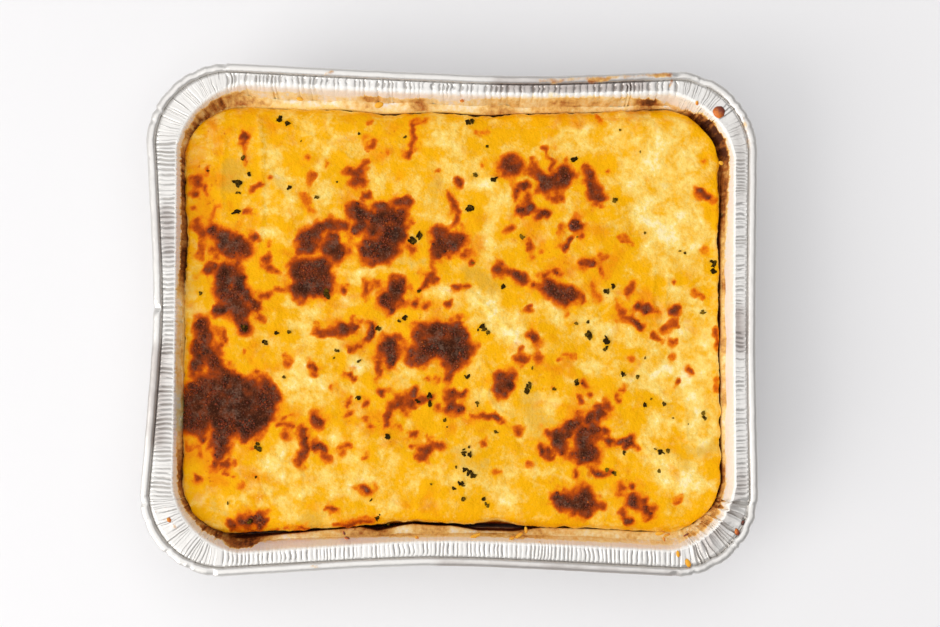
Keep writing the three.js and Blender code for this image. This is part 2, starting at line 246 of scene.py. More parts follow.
@dataclass(frozen=True)
class Ring:
    """A closed outline of four rounded corners joined by four sides, listed anticlockwise.

    Corners are front right, back right, back left and front left, and the right, back, left and
    front side follow them. A place on the ring counts corners and sides in turn: 0 to 1 is the
    first corner, 1 to 2 the first side.
    """

    reach: tuple[tuple[float, float], ...]      # where a corner's two tangents meet
    radius: float
    trim: float                                 # degrees left off each end of an arc
    pinch: tuple[float, ...] = (0.0, 0.0, 0.0, 0.0)
    dents: tuple[Dent, ...] = ()

    def inset(self, distance: float) -> "Ring":
        """The ring moved inwards by a distance."""
        reach = tuple(
            (x - math.copysign(distance, x), y - math.copysign(distance, y)) for x, y in self.reach
        )
        return replace(self, reach=reach, radius=self.radius - distance)

    def towards(self, other: "Ring", share: float) -> "Ring":
        """Finds the ring a share of the way to another one.

        Args:
            other: The other ring.
            share: 0 for this ring, 1 for the other.

        Returns:
            The ring between them, with this one's dents.
        """
        def between(mine: float, theirs: float) -> float:
            """One number a share of the way to another."""
            return mine + (theirs - mine) * share

        reach = tuple(
            (between(a[0], b[0]), between(a[1], b[1])) for a, b in zip(self.reach, other.reach)
        )
        pinch = tuple(between(a, b) for a, b in zip(self.pinch, other.pinch))
        radius = between(self.radius, other.radius)
        return replace(
            self, reach=reach, radius=radius, trim=between(self.trim, other.trim), pinch=pinch,
        )

    def on_corner(self, corner: Array, along: Array) -> Array:
        """Finds points on the corners' arcs.

        Args:
            corner: The corners' numbers.
            along: How far round its arc each point is, from 0 to 1.

        Returns:
            One (x, y) row for each point.
        """
        reach = np.array(self.reach)[corner]
        centre = reach - np.sign(reach) * self.radius
        start = -90.0 + 90.0 * corner + self.trim
        end = 90.0 * corner - self.trim
        angle = np.radians(start + (end - start) * along)
        return centre + self.radius * np.column_stack([np.cos(angle), np.sin(angle)])

    @staticmethod
    def pinch_shape(along: Array, at: Array) -> Array:
        """The form of a pinched side: two nearly straight slopes that meet in a soft point.

        Args:
            along: Places along the side, from 0 to 1.
            at: Where it is pinched in most.

        Returns:
            1 at the pinch, falling to 0 at both ends of the side.
        """
        away = np.where(along < at, (at - along) / at, (along - at) / (1.0 - at))
        full = math.hypot(1.0, PINCH_SOFTNESS)
        return (full - np.hypot(away, PINCH_SOFTNESS)) / (full - PINCH_SOFTNESS)

    def points(self, places: Array) -> Array:
        """Points at places on the ring.

        Args:
            places: Places, in corners and sides.

        Returns:
            One (x, y) row for each place.
        """
        wrapped = np.mod(np.asarray(places, float), RING_SPAN)
        corner = np.minimum((wrapped // 2).astype(int), CORNERS - 1)
        along = wrapped - 2 * corner
        round_corner = self.on_corner(corner, np.minimum(along, 1.0))
        start = self.on_corner(corner, np.ones(len(corner)))
        end = self.on_corner((corner + 1) % CORNERS, np.zeros(len(corner)))
        run = end - start
        inward = np.column_stack([-run[:, 1], run[:, 0]]) / np.linalg.norm(run, axis=1)[:, None]
        share = np.clip(along - 1.0, 0.0, 1.0)
        depth = np.array(self.pinch)[corner] * self.pinch_shape(share, PINCH_AT[corner])
        on_side = start + run * share[:, None] + inward * depth[:, None]
        result = np.where((along < 1.0)[:, None], round_corner, on_side)
        for dent in self.dents:
            offset = np.abs(wrapped - dent.at)
            gap = np.minimum(offset, RING_SPAN - offset) / dent.spread
            push = dent.depth * np.exp(-gap * gap)
            result = result - result / np.linalg.norm(result, axis=1)[:, None] * push[:, None]
        return result

    def runs(self) -> Array:
        """Where each side starts and ends, measured along itself, one row a side."""
        corners = np.arange(CORNERS)
        starts = self.on_corner(corners, np.ones(CORNERS))
        ends = self.on_corner((corners + 1) % CORNERS, np.zeros(CORNERS))
        return np.column_stack([np.sum(starts * SIDE_WAYS, axis=1), np.sum(ends * SIDE_WAYS, axis=1)])

    def facing(self, rim: "Ring", places: Array) -> Array:
        """Finds the points that squarely face places on another ring.

        Args:
            rim: The ring that the places are on.
            places: Places on it, from 0 to the whole span.

        Returns:
            One (x, y) row for each place.
        """
        mine, theirs = self.runs(), rim.runs()
        arc = self.radius * math.radians(90.0 - 2.0 * self.trim)
        corner = np.minimum((places // 2).astype(int), CORNERS - 1)
        along = places - 2 * corner

        def on_side(side: Array, share: Array) -> Array:
            """Place that faces a share of a side."""
            at = theirs[side, 0] + (theirs[side, 1] - theirs[side, 0]) * share
            start, end = mine[side].T
            inside = np.clip((at - start) / (end - start), 0.0, 1.0)
            over = np.minimum(at - start, 0.0) + np.maximum(at - end, 0.0)
            return 2 * side + 1 + inside + over / arc

        first = on_side((corner - 1) % CORNERS, np.ones(len(places))) - RING_SPAN * (corner == 0)
        last = on_side(corner, np.zeros(len(places)))
        at_corner = first + (last - first) * np.minimum(along, 1.0)
        on_straight = on_side(corner, np.clip(along - 1.0, 0.0, 1.0))
        return self.points(np.where(along < 1.0, at_corner, on_straight))


TRAY_HEIGHT = 60.0
FOIL = 0.5                                        # its thickness
FLANGE_TOP = 58.5
BEND_RADIUS = 2.2
BASE_RADIUS = 5.5
BEAD_WIDTH = 4.6
WALL_FOOT = BASE_RADIUS                           # the levels that the wall runs between
WALL_HEAD = FLANGE_TOP - 0.4 * BEND_RADIUS

CRUST_TOP = 50.0
LONG_EDGE_DROP, LONG_EDGE_REACH = 7.5, 17.0       # how far it sinks at its long edges, from how far in
SHORT_EDGE_DROP, SHORT_EDGE_REACH = 3.2, 6.0
FILLING_GAP = 1.5                                 # between the filling and the wall
FILLING_BOTTOM = FOIL + 0.5

RIM = Ring(
    reach=((160.3, -134.2), (161.3, 131.3), (-159.6, 134.1), (-161.2, -133.1)),
    radius=43.3,
    trim=3.0,
    pinch=(1.2, 4.0, 5.3, 5.5),
)
BEND = Ring(
    reach=((148.1, -120.6), (149.3, 119.5), (-144.0, 122.8), (-144.6, -120.9)),
    radius=41.0,
    trim=10.0,
    pinch=(0.4, 3.1, 0.4, 5.4),
)
BASE = Ring(
    reach=((132.4, -105.9), (132.4, 105.9), (-132.4, 105.9), (-132.4, -105.9)),
    radius=26.0,
    trim=10.0,
)
CRUST = Ring(
    reach=((143.7, -113.2), (143.9, 114.4), (-142.2, 114.2), (-142.1, -113.6)),
    radius=31.0,
    trim=6.0,
    pinch=(0.5, 2.7, 0.6, 4.6),
    dents=(
        Dent(2.38, 3.2, 0.22), Dent(3.66, 1.6, 0.06), Dent(3.42, 1.2, 0.05), Dent(7.36, 1.7, 0.08),
        Dent(7.6, 2.2, 0.05), Dent(0.5, 0.9, 0.3), Dent(4.5, 0.6, 0.3), Dent(5.24, 1.5, 0.07),
        Dent(3.84, 0.9, 0.03), Dent(5.78, 0.8, 0.05), Dent(7.05, 1.0, 0.05), Dent(1.4, 0.6, 0.04),
        Dent(1.75, 0.6, 0.05),
    ),
)


# --- Soft-edged patches ---

@dataclass(frozen=True)
class Patch:
    """A stroke of browning, paleness, stain or relief along places in the picture."""

    strength: float
    half_width: float          # in picture units
    path: tuple[Pixel, ...]


def strokes(*rows: tuple[float, ...]) -> tuple[Patch, ...]:
    """Patches from rows of strength in hundredths, half width, and each place's across and down."""
    return tuple(
        Patch(strength / 100, half_width, tuple(zip(path[::2], path[1::2])))
        for strength, half_width, *path in rows
    )


@dataclass(frozen=True)
class PatchField:
    """Patches laid on one level, as a number from 0 to 1 at every place."""

    patches: tuple[Patch, ...]
    camera: OverheadCamera
    level: float
    softness: float            # how far the edge of a wide patch fades out, in millimetres
    sharpest: float = 99.0     # the same for the smallest patches
    steepness: float = 3.2

    def at(self, points: Array) -> Array:
        """The strongest patch at each place, with what overlaps it adding a little.

        Args:
            points: Places, one (x, y) row each.

        Returns:
            One number from 0 to 1 for each place.
        """
        strongest = np.zeros(len(points))
        clear = np.ones(len(points))
        unit = self.camera.unit_at(self.level)
        for item in self.patches:
            path = self.camera.cast(item.path, self.level)
            width = item.half_width * unit
            fade = min(self.softness, max(self.sharpest, 0.9 * width))
            reach = width + 2.5 * fade
            near = np.all((points > path.min(0) - reach) & (points < path.max(0) + reach), axis=1)
            away = distance_to_path(points[near], path) - width
            share = item.strength / (1.0 + np.exp(self.steepness * away / fade))
            strongest[near] = np.maximum(strongest[near], share)
            clear[near] *= 1.0 - np.minimum(share, 1.0)
        return 0.65 * strongest + 0.35 * (1.0 - clear)


# --- Mesh helpers ---

def deselect_all() -> None:
    """Leaves edit mode and clears the selection."""
    active = bpy.context.view_layer.objects.active
    if active is not None and active.mode != "OBJECT":
        bpy.ops.object.mode_set(mode="OBJECT")
    bpy.ops.object.select_all(action="DESELECT")


def make_active(piece: bpy.types.Object) -> None:
    """Selects one object alone and makes it the active one."""
    deselect_all()
    piece.select_set(True)
    bpy.context.view_layer.objects.active = piece


@contextmanager
def editing() -> Iterator[None]:
    """Keeps the active object in edit mode for a while."""
    bpy.ops.object.mode_set(mode="EDIT")
    yield
    bpy.ops.object.mode_set(mode="OBJECT")


def read_points(mesh: bpy.types.Mesh) -> Array:
    """A mesh's vertices as rows, in millimetres."""
    flat = np.zeros(3 * len(mesh.vertices))
    mesh.vertices.foreach_get("co", flat)
    return flat.reshape(-1, 3) / MM


def write_points(mesh: bpy.types.Mesh, points: Array) -> None:
    """Moves a mesh's vertices to rows of millimetres."""
    mesh.vertices.foreach_set("co", (points * MM).ravel())
    mesh.update()


def write_field(mesh: bpy.types.Mesh, name: str, values: Array) -> None:
    """Stores one number a vertex, for a material to read."""
    layer = mesh.attributes.new(name, "FLOAT", "POINT")
    layer.data.foreach_set("value", np.asarray(values, np.float32))


def overwrite_field(mesh: bpy.types.Mesh, name: str, first: int, value: float) -> None:
    """Gives the last vertices one value of a stored field.

    Args:
        mesh: The mesh that holds it.
        name: The field's name.
        first: Number of the first vertex to change.
        value: The value.
    """
    data = mesh.attributes[name].data
    values = np.zeros(len(data))
    data.foreach_get("value", values)
    values[first:] = value
    data.foreach_set("value", values)


def add_sheet(name: str, columns: int, rows: int) -> tuple[bpy.types.Object, Array, Array]:
    """Adds a flat grid whose vertices are then laid where they belong.

    Args:
        name: Name of the piece.
        columns: Cells across.
        rows: Cells deep.

    Returns:
        The piece, and for each vertex its column line and its row line.
    """
    deselect_all()
    bpy.ops.mesh.primitive_grid_add(x_subdivisions=columns, y_subdivisions=rows, size=2.0)
    sheet = bpy.context.active_object
    sheet.name = sheet.data.name = name
    flat = read_points(sheet.data) * MM
    column = np.rint((flat[:, 0] + 1.0) / 2.0 * columns).astype(int)
    row = np.rint((flat[:, 1] + 1.0) / 2.0 * rows).astype(int)
    return sheet, column, row


def select_edges(mesh: bpy.types.Mesh, edges: Array) -> None:
    """Selects some edges and nothing else, ready for edit mode.

    Args:
        mesh: The mesh.
        edges: A mask of its edges.
    """
    bpy.context.tool_settings.mesh_select_mode = (False, True, False)
    mesh.polygons.foreach_set("select", np.zeros(len(mesh.polygons), bool))
    ends = np.zeros(len(mesh.vertices), bool)
    ends[edge_ends(mesh)[edges]] = True
    mesh.vertices.foreach_set("select", ends)
    mesh.edges.foreach_set("select", edges)


def edge_ends(mesh: bpy.types.Mesh) -> Array:
    """The two vertices of every edge, as rows."""
    flat = np.zeros(2 * len(mesh.edges), int)
    mesh.edges.foreach_get("vertices", flat)
    return flat.reshape(-1, 2)


def weld(piece: bpy.types.Object, distance: float) -> None:
    """Merges vertices closer than a distance in millimetres."""
    make_active(piece)
    with editing():
        bpy.ops.mesh.select_all(action="SELECT")
        bpy.ops.mesh.remove_doubles(threshold=distance * MM)


def close_opening() -> None:
    """Fills the selected edges of the active object with one fan of triangles."""
    with editing():
        bpy.ops.mesh.edge_face_add()
        bpy.ops.mesh.poke()


def thicken(piece: bpy.types.Object, thickness: float) -> None:
    """Gives a sheet its thickness, behind its faces.

    Args:
        piece: The sheet.
        thickness: The thickness in millimetres.
    """
    make_active(piece)
    solidify = piece.modifiers.new("thickness", "SOLIDIFY")
    solidify.thickness = thickness * MM
    solidify.offset = -1.0
    bpy.ops.object.modifier_apply(modifier=solidify.name)


def boundary_edges(mesh: bpy.types.Mesh) -> Array:
    """Finds the open edges of a mesh.

    Args:
        mesh: The mesh.

    Returns:
        A mask of the edges that only one face uses.
    """
    uses = np.zeros(len(mesh.edges), int)
    loops = np.zeros(len(mesh.loops), int)
    mesh.loops.foreach_get("edge_index", loops)
    np.add.at(uses, loops, 1)
    return uses == 1


def turn_outwards(piece: bpy.types.Object) -> None:
    """Makes every face of a closed piece point outwards."""
    make_active(piece)
    with editing():
        bpy.ops.mesh.select_all(action="SELECT")
        bpy.ops.mesh.normals_make_consistent(inside=False)


def shade(piece: bpy.types.Object, sharp_above: float | None = None) -> None:
    """Smooths a piece's shading.

    Args:
        piece: The piece.
        sharp_above: Degrees above which an edge stays sharp, or None if none does.
    """
    make_active(piece)
    if sharp_above is None:
        bpy.ops.object.shade_smooth()
    else:
        bpy.ops.object.shade_smooth_by_angle(angle=math.radians(sharp_above))


def spread_copies(
    name: str, template: bpy.types.Object, placements: Sequence[tuple[Array, Array | float]],
) -> bpy.types.Object:
    """Joins reshaped copies of one small shape into a piece.

    Args:
        name: Name of the piece.
        template: The shape, which is removed afterwards.
        placements: For each copy its vertices in millimetres, and its tone, whole or by vertex.

    Returns:
        The piece with all the copies in its own mesh.
    """
    mesh = template.data
    count = len(mesh.vertices)
    faces = [tuple(polygon.vertices) for polygon in mesh.polygons]
    points = np.vstack([vertices for vertices, _ in placements])
    shades = np.concatenate([np.broadcast_to(tone, count) for _, tone in placements])
    all_faces = [
        tuple(index + copy * count for index in face)
        for copy in range(len(placements)) for face in faces
    ]
    joined = bpy.data.meshes.new(name)
    joined.from_pydata((points * MM).tolist(), [], all_faces)
    write_field(joined, "tone", shades)
    piece = bpy.data.objects.new(name, joined)
    bpy.context.scene.collection.objects.link(piece)
    bpy.data.objects.remove(template)
    return piece


def random_turn(random: np.random.Generator, tilt: float) -> Array:
    """Draws a free turn about +Z that follows a small tilt.

    Args:
        random: Source of the angles.
        tilt: Largest tilt in degrees.

    Returns:
        The turn as a matrix.
    """
    spin = Matrix.Rotation(random.uniform(0.0, 2.0 * math.pi), 3, "Z")
    lean = Matrix.Rotation(math.radians(random.uniform(-tilt, tilt)), 3, "X")
    roll = Matrix.Rotation(math.radians(random.uniform(-tilt, tilt)), 3, "Y")
    return np.array(spin @ lean @ roll)


# --- Material graphs ---

Socket = bpy.types.NodeSocket
Feed = Socket | float | Sequence[float]      # what goes into a socket: another one, or a constant


def set_stops(ramp: bpy.types.ColorRamp, stops: Sequence[tuple[float, Sequence[float]]]) -> None:
    """Gives a ramp its colours.

    Args:
        ramp: The ramp, which starts with two stops.
        stops: Positions and linear colours, by rising position.
    """
    first, last = ramp.elements[0], ramp.elements[1]
    first.position, last.position = stops[0][0], stops[-1][0]
    first.color, last.color = stops[0][1], stops[-1][1]
    for position, colour in stops[1:-1]:
        ramp.elements.new(position).color = colour


class Graph:
    """The nodes of a material or a world, written as expressions."""

    def __init__(self, name: str, world: bool = False) -> None:
        """Starts an empty material, or an empty world."""
        self.owner = (bpy.data.worlds if world else bpy.data.materials).new(name)
        self.owner.use_nodes = True
        self.tree = self.owner.node_tree
        self.tree.nodes.clear()
        self.coordinates = self.add("TexCoord").outputs["Generated" if world else "Object"]

    def add(self, kind: str, **inputs: Feed) -> bpy.types.Node:
        """Adds a node.

        Args:
            kind: Its type, without the usual prefix.
            inputs: What goes into its sockets, named with underscores for spaces.

        Returns:
            The node.
        """
        node = self.tree.nodes.new(f"ShaderNode{kind}")
        for name, value in inputs.items():
            self.feed(node.inputs[name.replace("_", " ")], value)
        return node

    def feed(self, socket: Socket, value: Feed) -> None:
        """Links a socket to another one, or sets it to a constant."""
        if isinstance(value, Socket):
            self.tree.links.new(value, socket)
        else:
            socket.default_value = value

    def attribute(self, name: str) -> Socket:
        """A number stored on the mesh."""
        node = self.add("Attribute")
        node.attribute_name = name
        return node.outputs["Fac"]

    def level(self) -> Socket:
        """Height above the floor in millimetres."""
        return self.times(self.add("SeparateXYZ", Vector=self.coordinates).outputs["Z"], 1.0 / MM)

    def noise(
        self, size: float, detail: float = 3.0, roughness: float = 0.55, twist: float = 0.0,
        shift: float = 0.0, stretch: tuple[float, float, float] = (1.0, 1.0, 1.0),
    ) -> Socket:
        """Cloudy noise over the object's own coordinates.

        Args:
            size: Size of its main features in millimetres.
            detail: How many finer octaves it has.
            roughness: How strong they are.
            twist: Distortion of the pattern.
            shift: Moves the pattern, so that two of one size differ.
            stretch: Scale of the coordinates along each axis.

        Returns:
            The noise, about 0.5 on average.
        """
        place = self.add(
            "Mapping", Vector=self.coordinates, Location=(shift, 0.7 * shift, 0.3 * shift), Scale=stretch,
        )
        node = self.add(
            "TexNoise", Vector=place.outputs["Vector"], Scale=1.0 / (size * MM), Detail=detail,
            Roughness=roughness, Distortion=twist,
        )
        return node.outputs["Fac"]

    def mottle(self, size: float, **look: Feed) -> Socket:
        """Noise with the same looks, stretched to run from about -1 to 1."""
        return self.times(self.minus(self.noise(size, **look), 0.5), 3.0)

    def cells(self, size: float) -> Socket:
        """Distance to the nearest of scattered points, for blisters and grains."""
        node = self.add("TexVoronoi", Vector=self.coordinates, Scale=1.0 / (size * MM))
        return node.outputs["Distance"]

    def math(self, operation: str, *values: Feed, clamp: bool = False) -> Socket:
        """One arithmetic operation on sockets or numbers.

        Args:
            operation: Its name.
            values: What it works on.
            clamp: Keeps the result between 0 and 1.

        Returns:
            The result.
        """
        node = self.add("Math")
        node.operation = operation
        node.use_clamp = clamp
        for socket, value in zip(node.inputs, values):
            self.feed(socket, value)
        return node.outputs[0]

    def plus(self, first: Feed, second: Feed, clamp: bool = False) -> Socket:
        """The sum of two numbers."""
        return self.math("ADD", first, second, clamp=clamp)

    def minus(self, first: Feed, second: Feed) -> Socket:
        """The first number less the second."""
        return self.math("SUBTRACT", first, second)

    def times(self, first: Feed, second: Feed, clamp: bool = False) -> Socket:
        """The product of two numbers."""
        return self.math("MULTIPLY", first, second, clamp=clamp)

    def total(self, *terms: tuple[Socket, float]) -> Socket:
        """Adds sockets, each times its own weight."""
        result: Feed = 0.0
        for socket, weight in terms:
            result = self.math("MULTIPLY_ADD", socket, weight, result)
        return result

    def step(self, value: Socket, low: float, high: float, top: float = 1.0) -> Socket:
        """Eases from 0 at low to top at high."""
        node = self.add("MapRange", Value=value, From_Min=low, From_Max=high, To_Max=top)
        node.interpolation_type = "SMOOTHSTEP"
        return node.outputs["Result"]

    def mix(self, share: Feed, first: Socket | Rgb, second: Socket | Rgb) -> Socket:
        """Goes from one colour to another.

        Args:
            share: 0 for the first colour, 1 for the second.
            first: A colour's socket, or a display colour.
            second: The same.

        Returns:
            The colour between them.
        """
        node = self.add("Mix")
        node.data_type = "RGBA"
        self.feed(node.inputs[0], share)
        for socket, colour in zip(node.inputs[6:8], (first, second)):
            self.feed(socket, colour if isinstance(colour, Socket) else srgb(*colour))
        return node.outputs[2]

    def ramp(self, value: Socket, stops: Sequence[tuple[float, Rgb]]) -> Socket:
        """A colour for each value, eased between stops of display colours."""
        node = self.add("ValToRGB", Fac=value)
        set_stops(node.color_ramp, [(at, srgb(*colour)) for at, colour in stops])
        return node.outputs["Color"]

    def bump(self, height: Socket, depth: float, below: Socket | None = None) -> Socket:
        """Relief too fine for the mesh.

        Args:
            height: The relief, from 0 to 1.
            depth: How deep it is in millimetres.
            below: Relief that this one lies on.

        Returns:
            The bumped normal.
        """
        node = self.add("Bump", Distance=depth * MM, Height=height)
        if below is not None:
            self.feed(node.inputs["Normal"], below)
        return node.outputs["Normal"]

    def finish(self, **inputs: Feed) -> bpy.types.Material:
        """Ends the graph in one surface shader with these inputs, and gives the material."""
        shader = self.add("BsdfPrincipled", **inputs)
        self.add("OutputMaterial", Surface=shader.outputs["BSDF"])
        return self.owner


# --- Finishes ---

@dataclass(frozen=True)
class FilmFinish:
    """The film of cheese and sauce that dries on the foil, from clear to burnt, whose darkest tones also
    paint the shade in the gap beside the food.
    """

    clear: Rgb = (246, 243, 238)
    cream: Rgb = (250, 228, 170)
    golden: Rgb = (236, 190, 106)
    brown: Rgb = (176, 104, 42)
    burnt: Rgb = (84, 38, 14)

    def tone(self, graph: Graph) -> Socket:
        """Works out how brown the film is, with painted shade in the gap beside the food.

        Args:
            graph: The material's graph.

        Returns:
            The field tone near the food, clearing above the level of the field fade.
        """
        streaks = graph.mottle(2.4, detail=4.0, roughness=0.6, shift=0.4, stretch=(1.0, 1.0, 0.18))
        blotches = graph.mottle(7.0, detail=4.0, roughness=0.6, shift=1.4)
        above = graph.minus(graph.level(), graph.attribute("fade"))
        cleared = graph.step(graph.total((above, 1.0), (streaks, 2.2), (blotches, 2.6)), -2.0, 0.8)
        brown = graph.total((graph.attribute("tone"), 1.0), (streaks, 0.28), (blotches, 0.26))
        return graph.times(brown, graph.minus(1.0, cleared), clamp=True)

    def colour(self, graph: Graph, tone: Socket) -> Socket:
        """Its colour for a tone."""
        return graph.ramp(tone, [
            (0.0, self.clear), (0.2, self.cream), (0.45, self.golden), (0.75, self.brown),
            (1.0, self.burnt),
        ])


@dataclass(frozen=True)
class FoilFinish:
    """Thin aluminium, with films of baked-on cheese and sauce, and painted shade, where the mesh says so.
    """

    metal: Rgb = (219, 216, 212)
    # painted shade: the metal's colour where it is painted darker
    shaded_metal: Rgb = (162, 150, 144)
    film: FilmFinish = FilmFinish()
    film_body: tuple[float, float] = (0.7, 0.2)      # how much shine a clear film hides, and how
                                                     # much more a brown one does
    roughness: float = 0.36

    def build(self) -> bpy.types.Material:
        """Makes the material.

        Returns:
            The material, which reads the fields film, tone and fade, and the field of painted shade.
        """
        graph = Graph("aluminium_foil")
        film = graph.attribute("film")
        blotches = graph.mottle(3.2, detail=4.0, roughness=0.6, twist=0.4)
        ragged = graph.total((film, 1.0), (blotches, 0.3))
        cover = graph.times(graph.step(ragged, 0.3, 0.75), graph.step(film, 0.02, 0.15))
        smears = graph.mottle(9.0, shift=0.9)
        # Painted shade: the metal is painted darker where the mesh's field says, with a little random
        # mottling.
        painted_shade = graph.total((graph.attribute("painted_shade"), 1.0), (smears, 0.12))
        metal = graph.mix(graph.step(painted_shade, 0.0, 1.0), self.metal, self.shaded_metal)
        roughness = graph.total((graph.step(smears, -0.3, 0.75), 0.12), (cover, 0.2))
        fine = graph.noise(0.7, detail=2.0, shift=0.2)
        creases = graph.noise(2.6, roughness=0.6, twist=0.8)
        crumpled = graph.times(creases, graph.plus(1.0, graph.times(film, 2.5)))
        normal = graph.bump(fine, 0.012, graph.bump(crumpled, 0.13))
        tone = self.film.tone(graph)
        body = graph.plus(self.film_body[0], graph.step(tone, 0.0, 0.3, self.film_body[1]))
        return graph.finish(
            Base_Color=graph.mix(cover, metal, self.film.colour(graph, tone)),
            Metallic=graph.minus(1.0, graph.times(cover, body)),
            Roughness=graph.plus(roughness, self.roughness),
            Normal=normal,
        )


@dataclass(frozen=True)
class BakedCheeseFinish:
    """The baked top: yellow and cream cheese, translucent pasta, amber rims and burnt patches, with painted
    glints and a painted sheen on the char.
    """

    yellow: Rgb = (245, 176, 4)
    cream: Rgb = (254, 222, 122)
    white: Rgb = (255, 236, 182)
    olive: Rgb = (222, 168, 52)
    amber: Rgb = (236, 142, 6)
    freckle: Rgb = (198, 88, 12)
    ember: Rgb = (146, 90, 60)
    glint: Rgb = (255, 242, 204)
    burns: tuple[tuple[float, Rgb], ...] = (
        (0.0, (248, 182, 16)),
        (0.12, (242, 152, 10)),
        (0.26, (226, 112, 8)),
        (0.4, (186, 76, 8)),
        (0.54, (152, 60, 12)),
        (0.68, (124, 52, 18)),
        (0.85, (94, 42, 18)),
        (1.0, (60, 26, 10)),
    )
    # painted sheen: the grey-purple of light reflected from parts of the char
    painted_sheen: Rgb = (122, 96, 80)

    def build(self) -> bpy.types.Material:
        """Makes the material.

        Returns:
            The material, which reads the fields browning, cream, olive and amber.
        """
        graph = Graph("baked_cheese_top")
        heat, cream, olive, amber = (
            graph.attribute(name) for name in ("browning", "cream", "olive", "amber")
        )
        broad = graph.mottle(20.0, twist=0.5)
        middling = graph.mottle(8.0, roughness=0.5, twist=0.35, shift=0.3)
        small = graph.mottle(2.2, detail=4.0, roughness=0.65, shift=0.6)
        smears = graph.mottle(10.0, detail=4.0, roughness=0.5, twist=0.45, shift=1.9)

        # The cream field is pale cheese with painted highlight along the edge and on some ridges.
        creamy = graph.total((cream, 1.0), (broad, 0.4), (middling, 0.9), (small, 0.5))
        colour = graph.mix(graph.step(creamy, -0.15, 1.15), self.yellow, self.cream)
        colour = graph.mix(graph.step(creamy, 0.8, 1.4, 0.9), colour, self.white)
        glassy = graph.total((olive, 1.0), (middling, 0.3), (small, 0.14))
        colour = graph.mix(graph.step(glassy, 0.25, 0.95, 0.8), colour, self.olive)
        warm = graph.total((amber, 1.0), (cream, -0.25), (smears, 0.9), (small, 0.16))
        colour = graph.mix(graph.step(warm, 0.05, 1.1, 0.95), colour, self.amber)
        specks = graph.mottle(2.6, roughness=0.6, shift=1.3)
        speckled = graph.total((specks, 1.0), (amber, 0.5), (cream, -0.15), (heat, 0.5))
        colour = graph.mix(graph.step(speckled, 0.58, 1.0, 0.65), colour, self.freckle)
        # Painted highlights: small near-white glints as spots, most on the pale cheese.
        painted_glints = graph.total((graph.mottle(1.3, detail=2.0, shift=4.4), 1.0), (creamy, 0.25))
        colour = graph.mix(graph.step(painted_glints, 0.65, 1.1, 0.6), colour, self.glint)

        near_burn = graph.step(heat, 0.03, 0.3)
        ragged = graph.total((middling, 0.18), (small, 0.12))
        burnt = graph.plus(heat, graph.times(ragged, near_burn), clamp=True)
        scorched = graph.ramp(burnt, self.burns)
        colour = graph.mix(graph.step(burnt, 0.03, 0.2), colour, scorched)

        char = graph.step(burnt, 0.45, 0.75)
        soot = graph.mottle(1.1, roughness=0.7, shift=3.1)
        embers = graph.times(char, graph.step(soot, 0.05, 0.8, 0.6))
        colour = graph.mix(embers, colour, self.ember)
        # Painted sheen: a grey-purple reflection mixed into parts of the char.
        sheen_mottle = graph.total((graph.mottle(5.5, shift=6.2), 1.0), (soot, 0.7))
        painted_sheen = graph.times(char, graph.step(sheen_mottle, -0.2, 1.0, 0.55))
        colour = graph.mix(painted_sheen, colour, self.painted_sheen)
        grain = graph.noise(0.9, roughness=0.6, shift=0.1)
        glaze = graph.step(graph.total((small, 0.7), (middling, 0.6), (cream, 0.25)), 0.3, 0.9)
        roughness = graph.total((grain, 0.25), (char, 0.06), (glaze, -0.14))
        curds = graph.noise(1.6, roughness=0.55, shift=2.0)
        bubbles = graph.times(graph.cells(1.3), char)
        normal = graph.bump(bubbles, 0.35, graph.bump(grain, 0.12, graph.bump(curds, 0.6)))
        return graph.finish(
            Base_Color=colour,
            Roughness=graph.plus(roughness, 0.34),
            Specular_IOR_Level=graph.plus(0.05, graph.times(glaze, 0.22)),
            Subsurface_Weight=0.05,
            Subsurface_Radius=(0.0022, 0.0012, 0.0004),
            Subsurface_Scale=1.0,
            Normal=normal,
        )


@dataclass(frozen=True)
class HerbFinish:
    """Chopped herb leaf, baked nearly black with olive edges."""

    dark: Rgb = (44, 30, 6)
    olive: Rgb = (124, 94, 18)

    def build(self) -> bpy.types.Material:
        """Makes the material.

        Returns:
            The material, which reads the field tone.
        """
        graph = Graph("baked_herb")
        mottle = graph.noise(0.9, roughness=0.6)
        share = graph.plus(graph.attribute("tone"), graph.minus(mottle, 0.5))
        veins = graph.noise(0.35, detail=2.0, shift=0.5)
        return graph.finish(
            Base_Color=graph.mix(graph.step(share, 0.25, 0.95), self.dark, self.olive),
            Roughness=graph.plus(0.5, graph.times(mottle, 0.25)),
            Specular_IOR_Level=0.03,
            Normal=graph.bump(veins, 0.05),
        )


@dataclass(frozen=True)
class BurntSauceFinish:
    """Sauce and cheese cooked to a dark gloss, from amber to nearly black."""

    amber: Rgb = (214, 112, 16)
    red: Rgb = (128, 50, 18)
    dark: Rgb = (60, 26, 12)
    gloss: float = 0.5

    def build(self) -> bpy.types.Material:
        """Makes the material.

        Returns:
            The material, which reads the field tone.
        """
        graph = Graph("burnt_sauce_gloss")
        mottle = graph.noise(1.1, roughness=0.6)
        share = graph.plus(graph.attribute("tone"), graph.times(graph.minus(mottle, 0.5), 0.8), clamp=True)
        colour = graph.ramp(share, [(0.0, self.amber), (0.45, self.red), (1.0, self.dark)])
        return graph.finish(
            Base_Color=colour,
            Roughness=graph.plus(0.2, graph.times(mottle, 0.25)),
            Specular_IOR_Level=self.gloss,
            Normal=graph.bump(graph.noise(0.5, detail=2.0, shift=0.8), 0.05),
        )


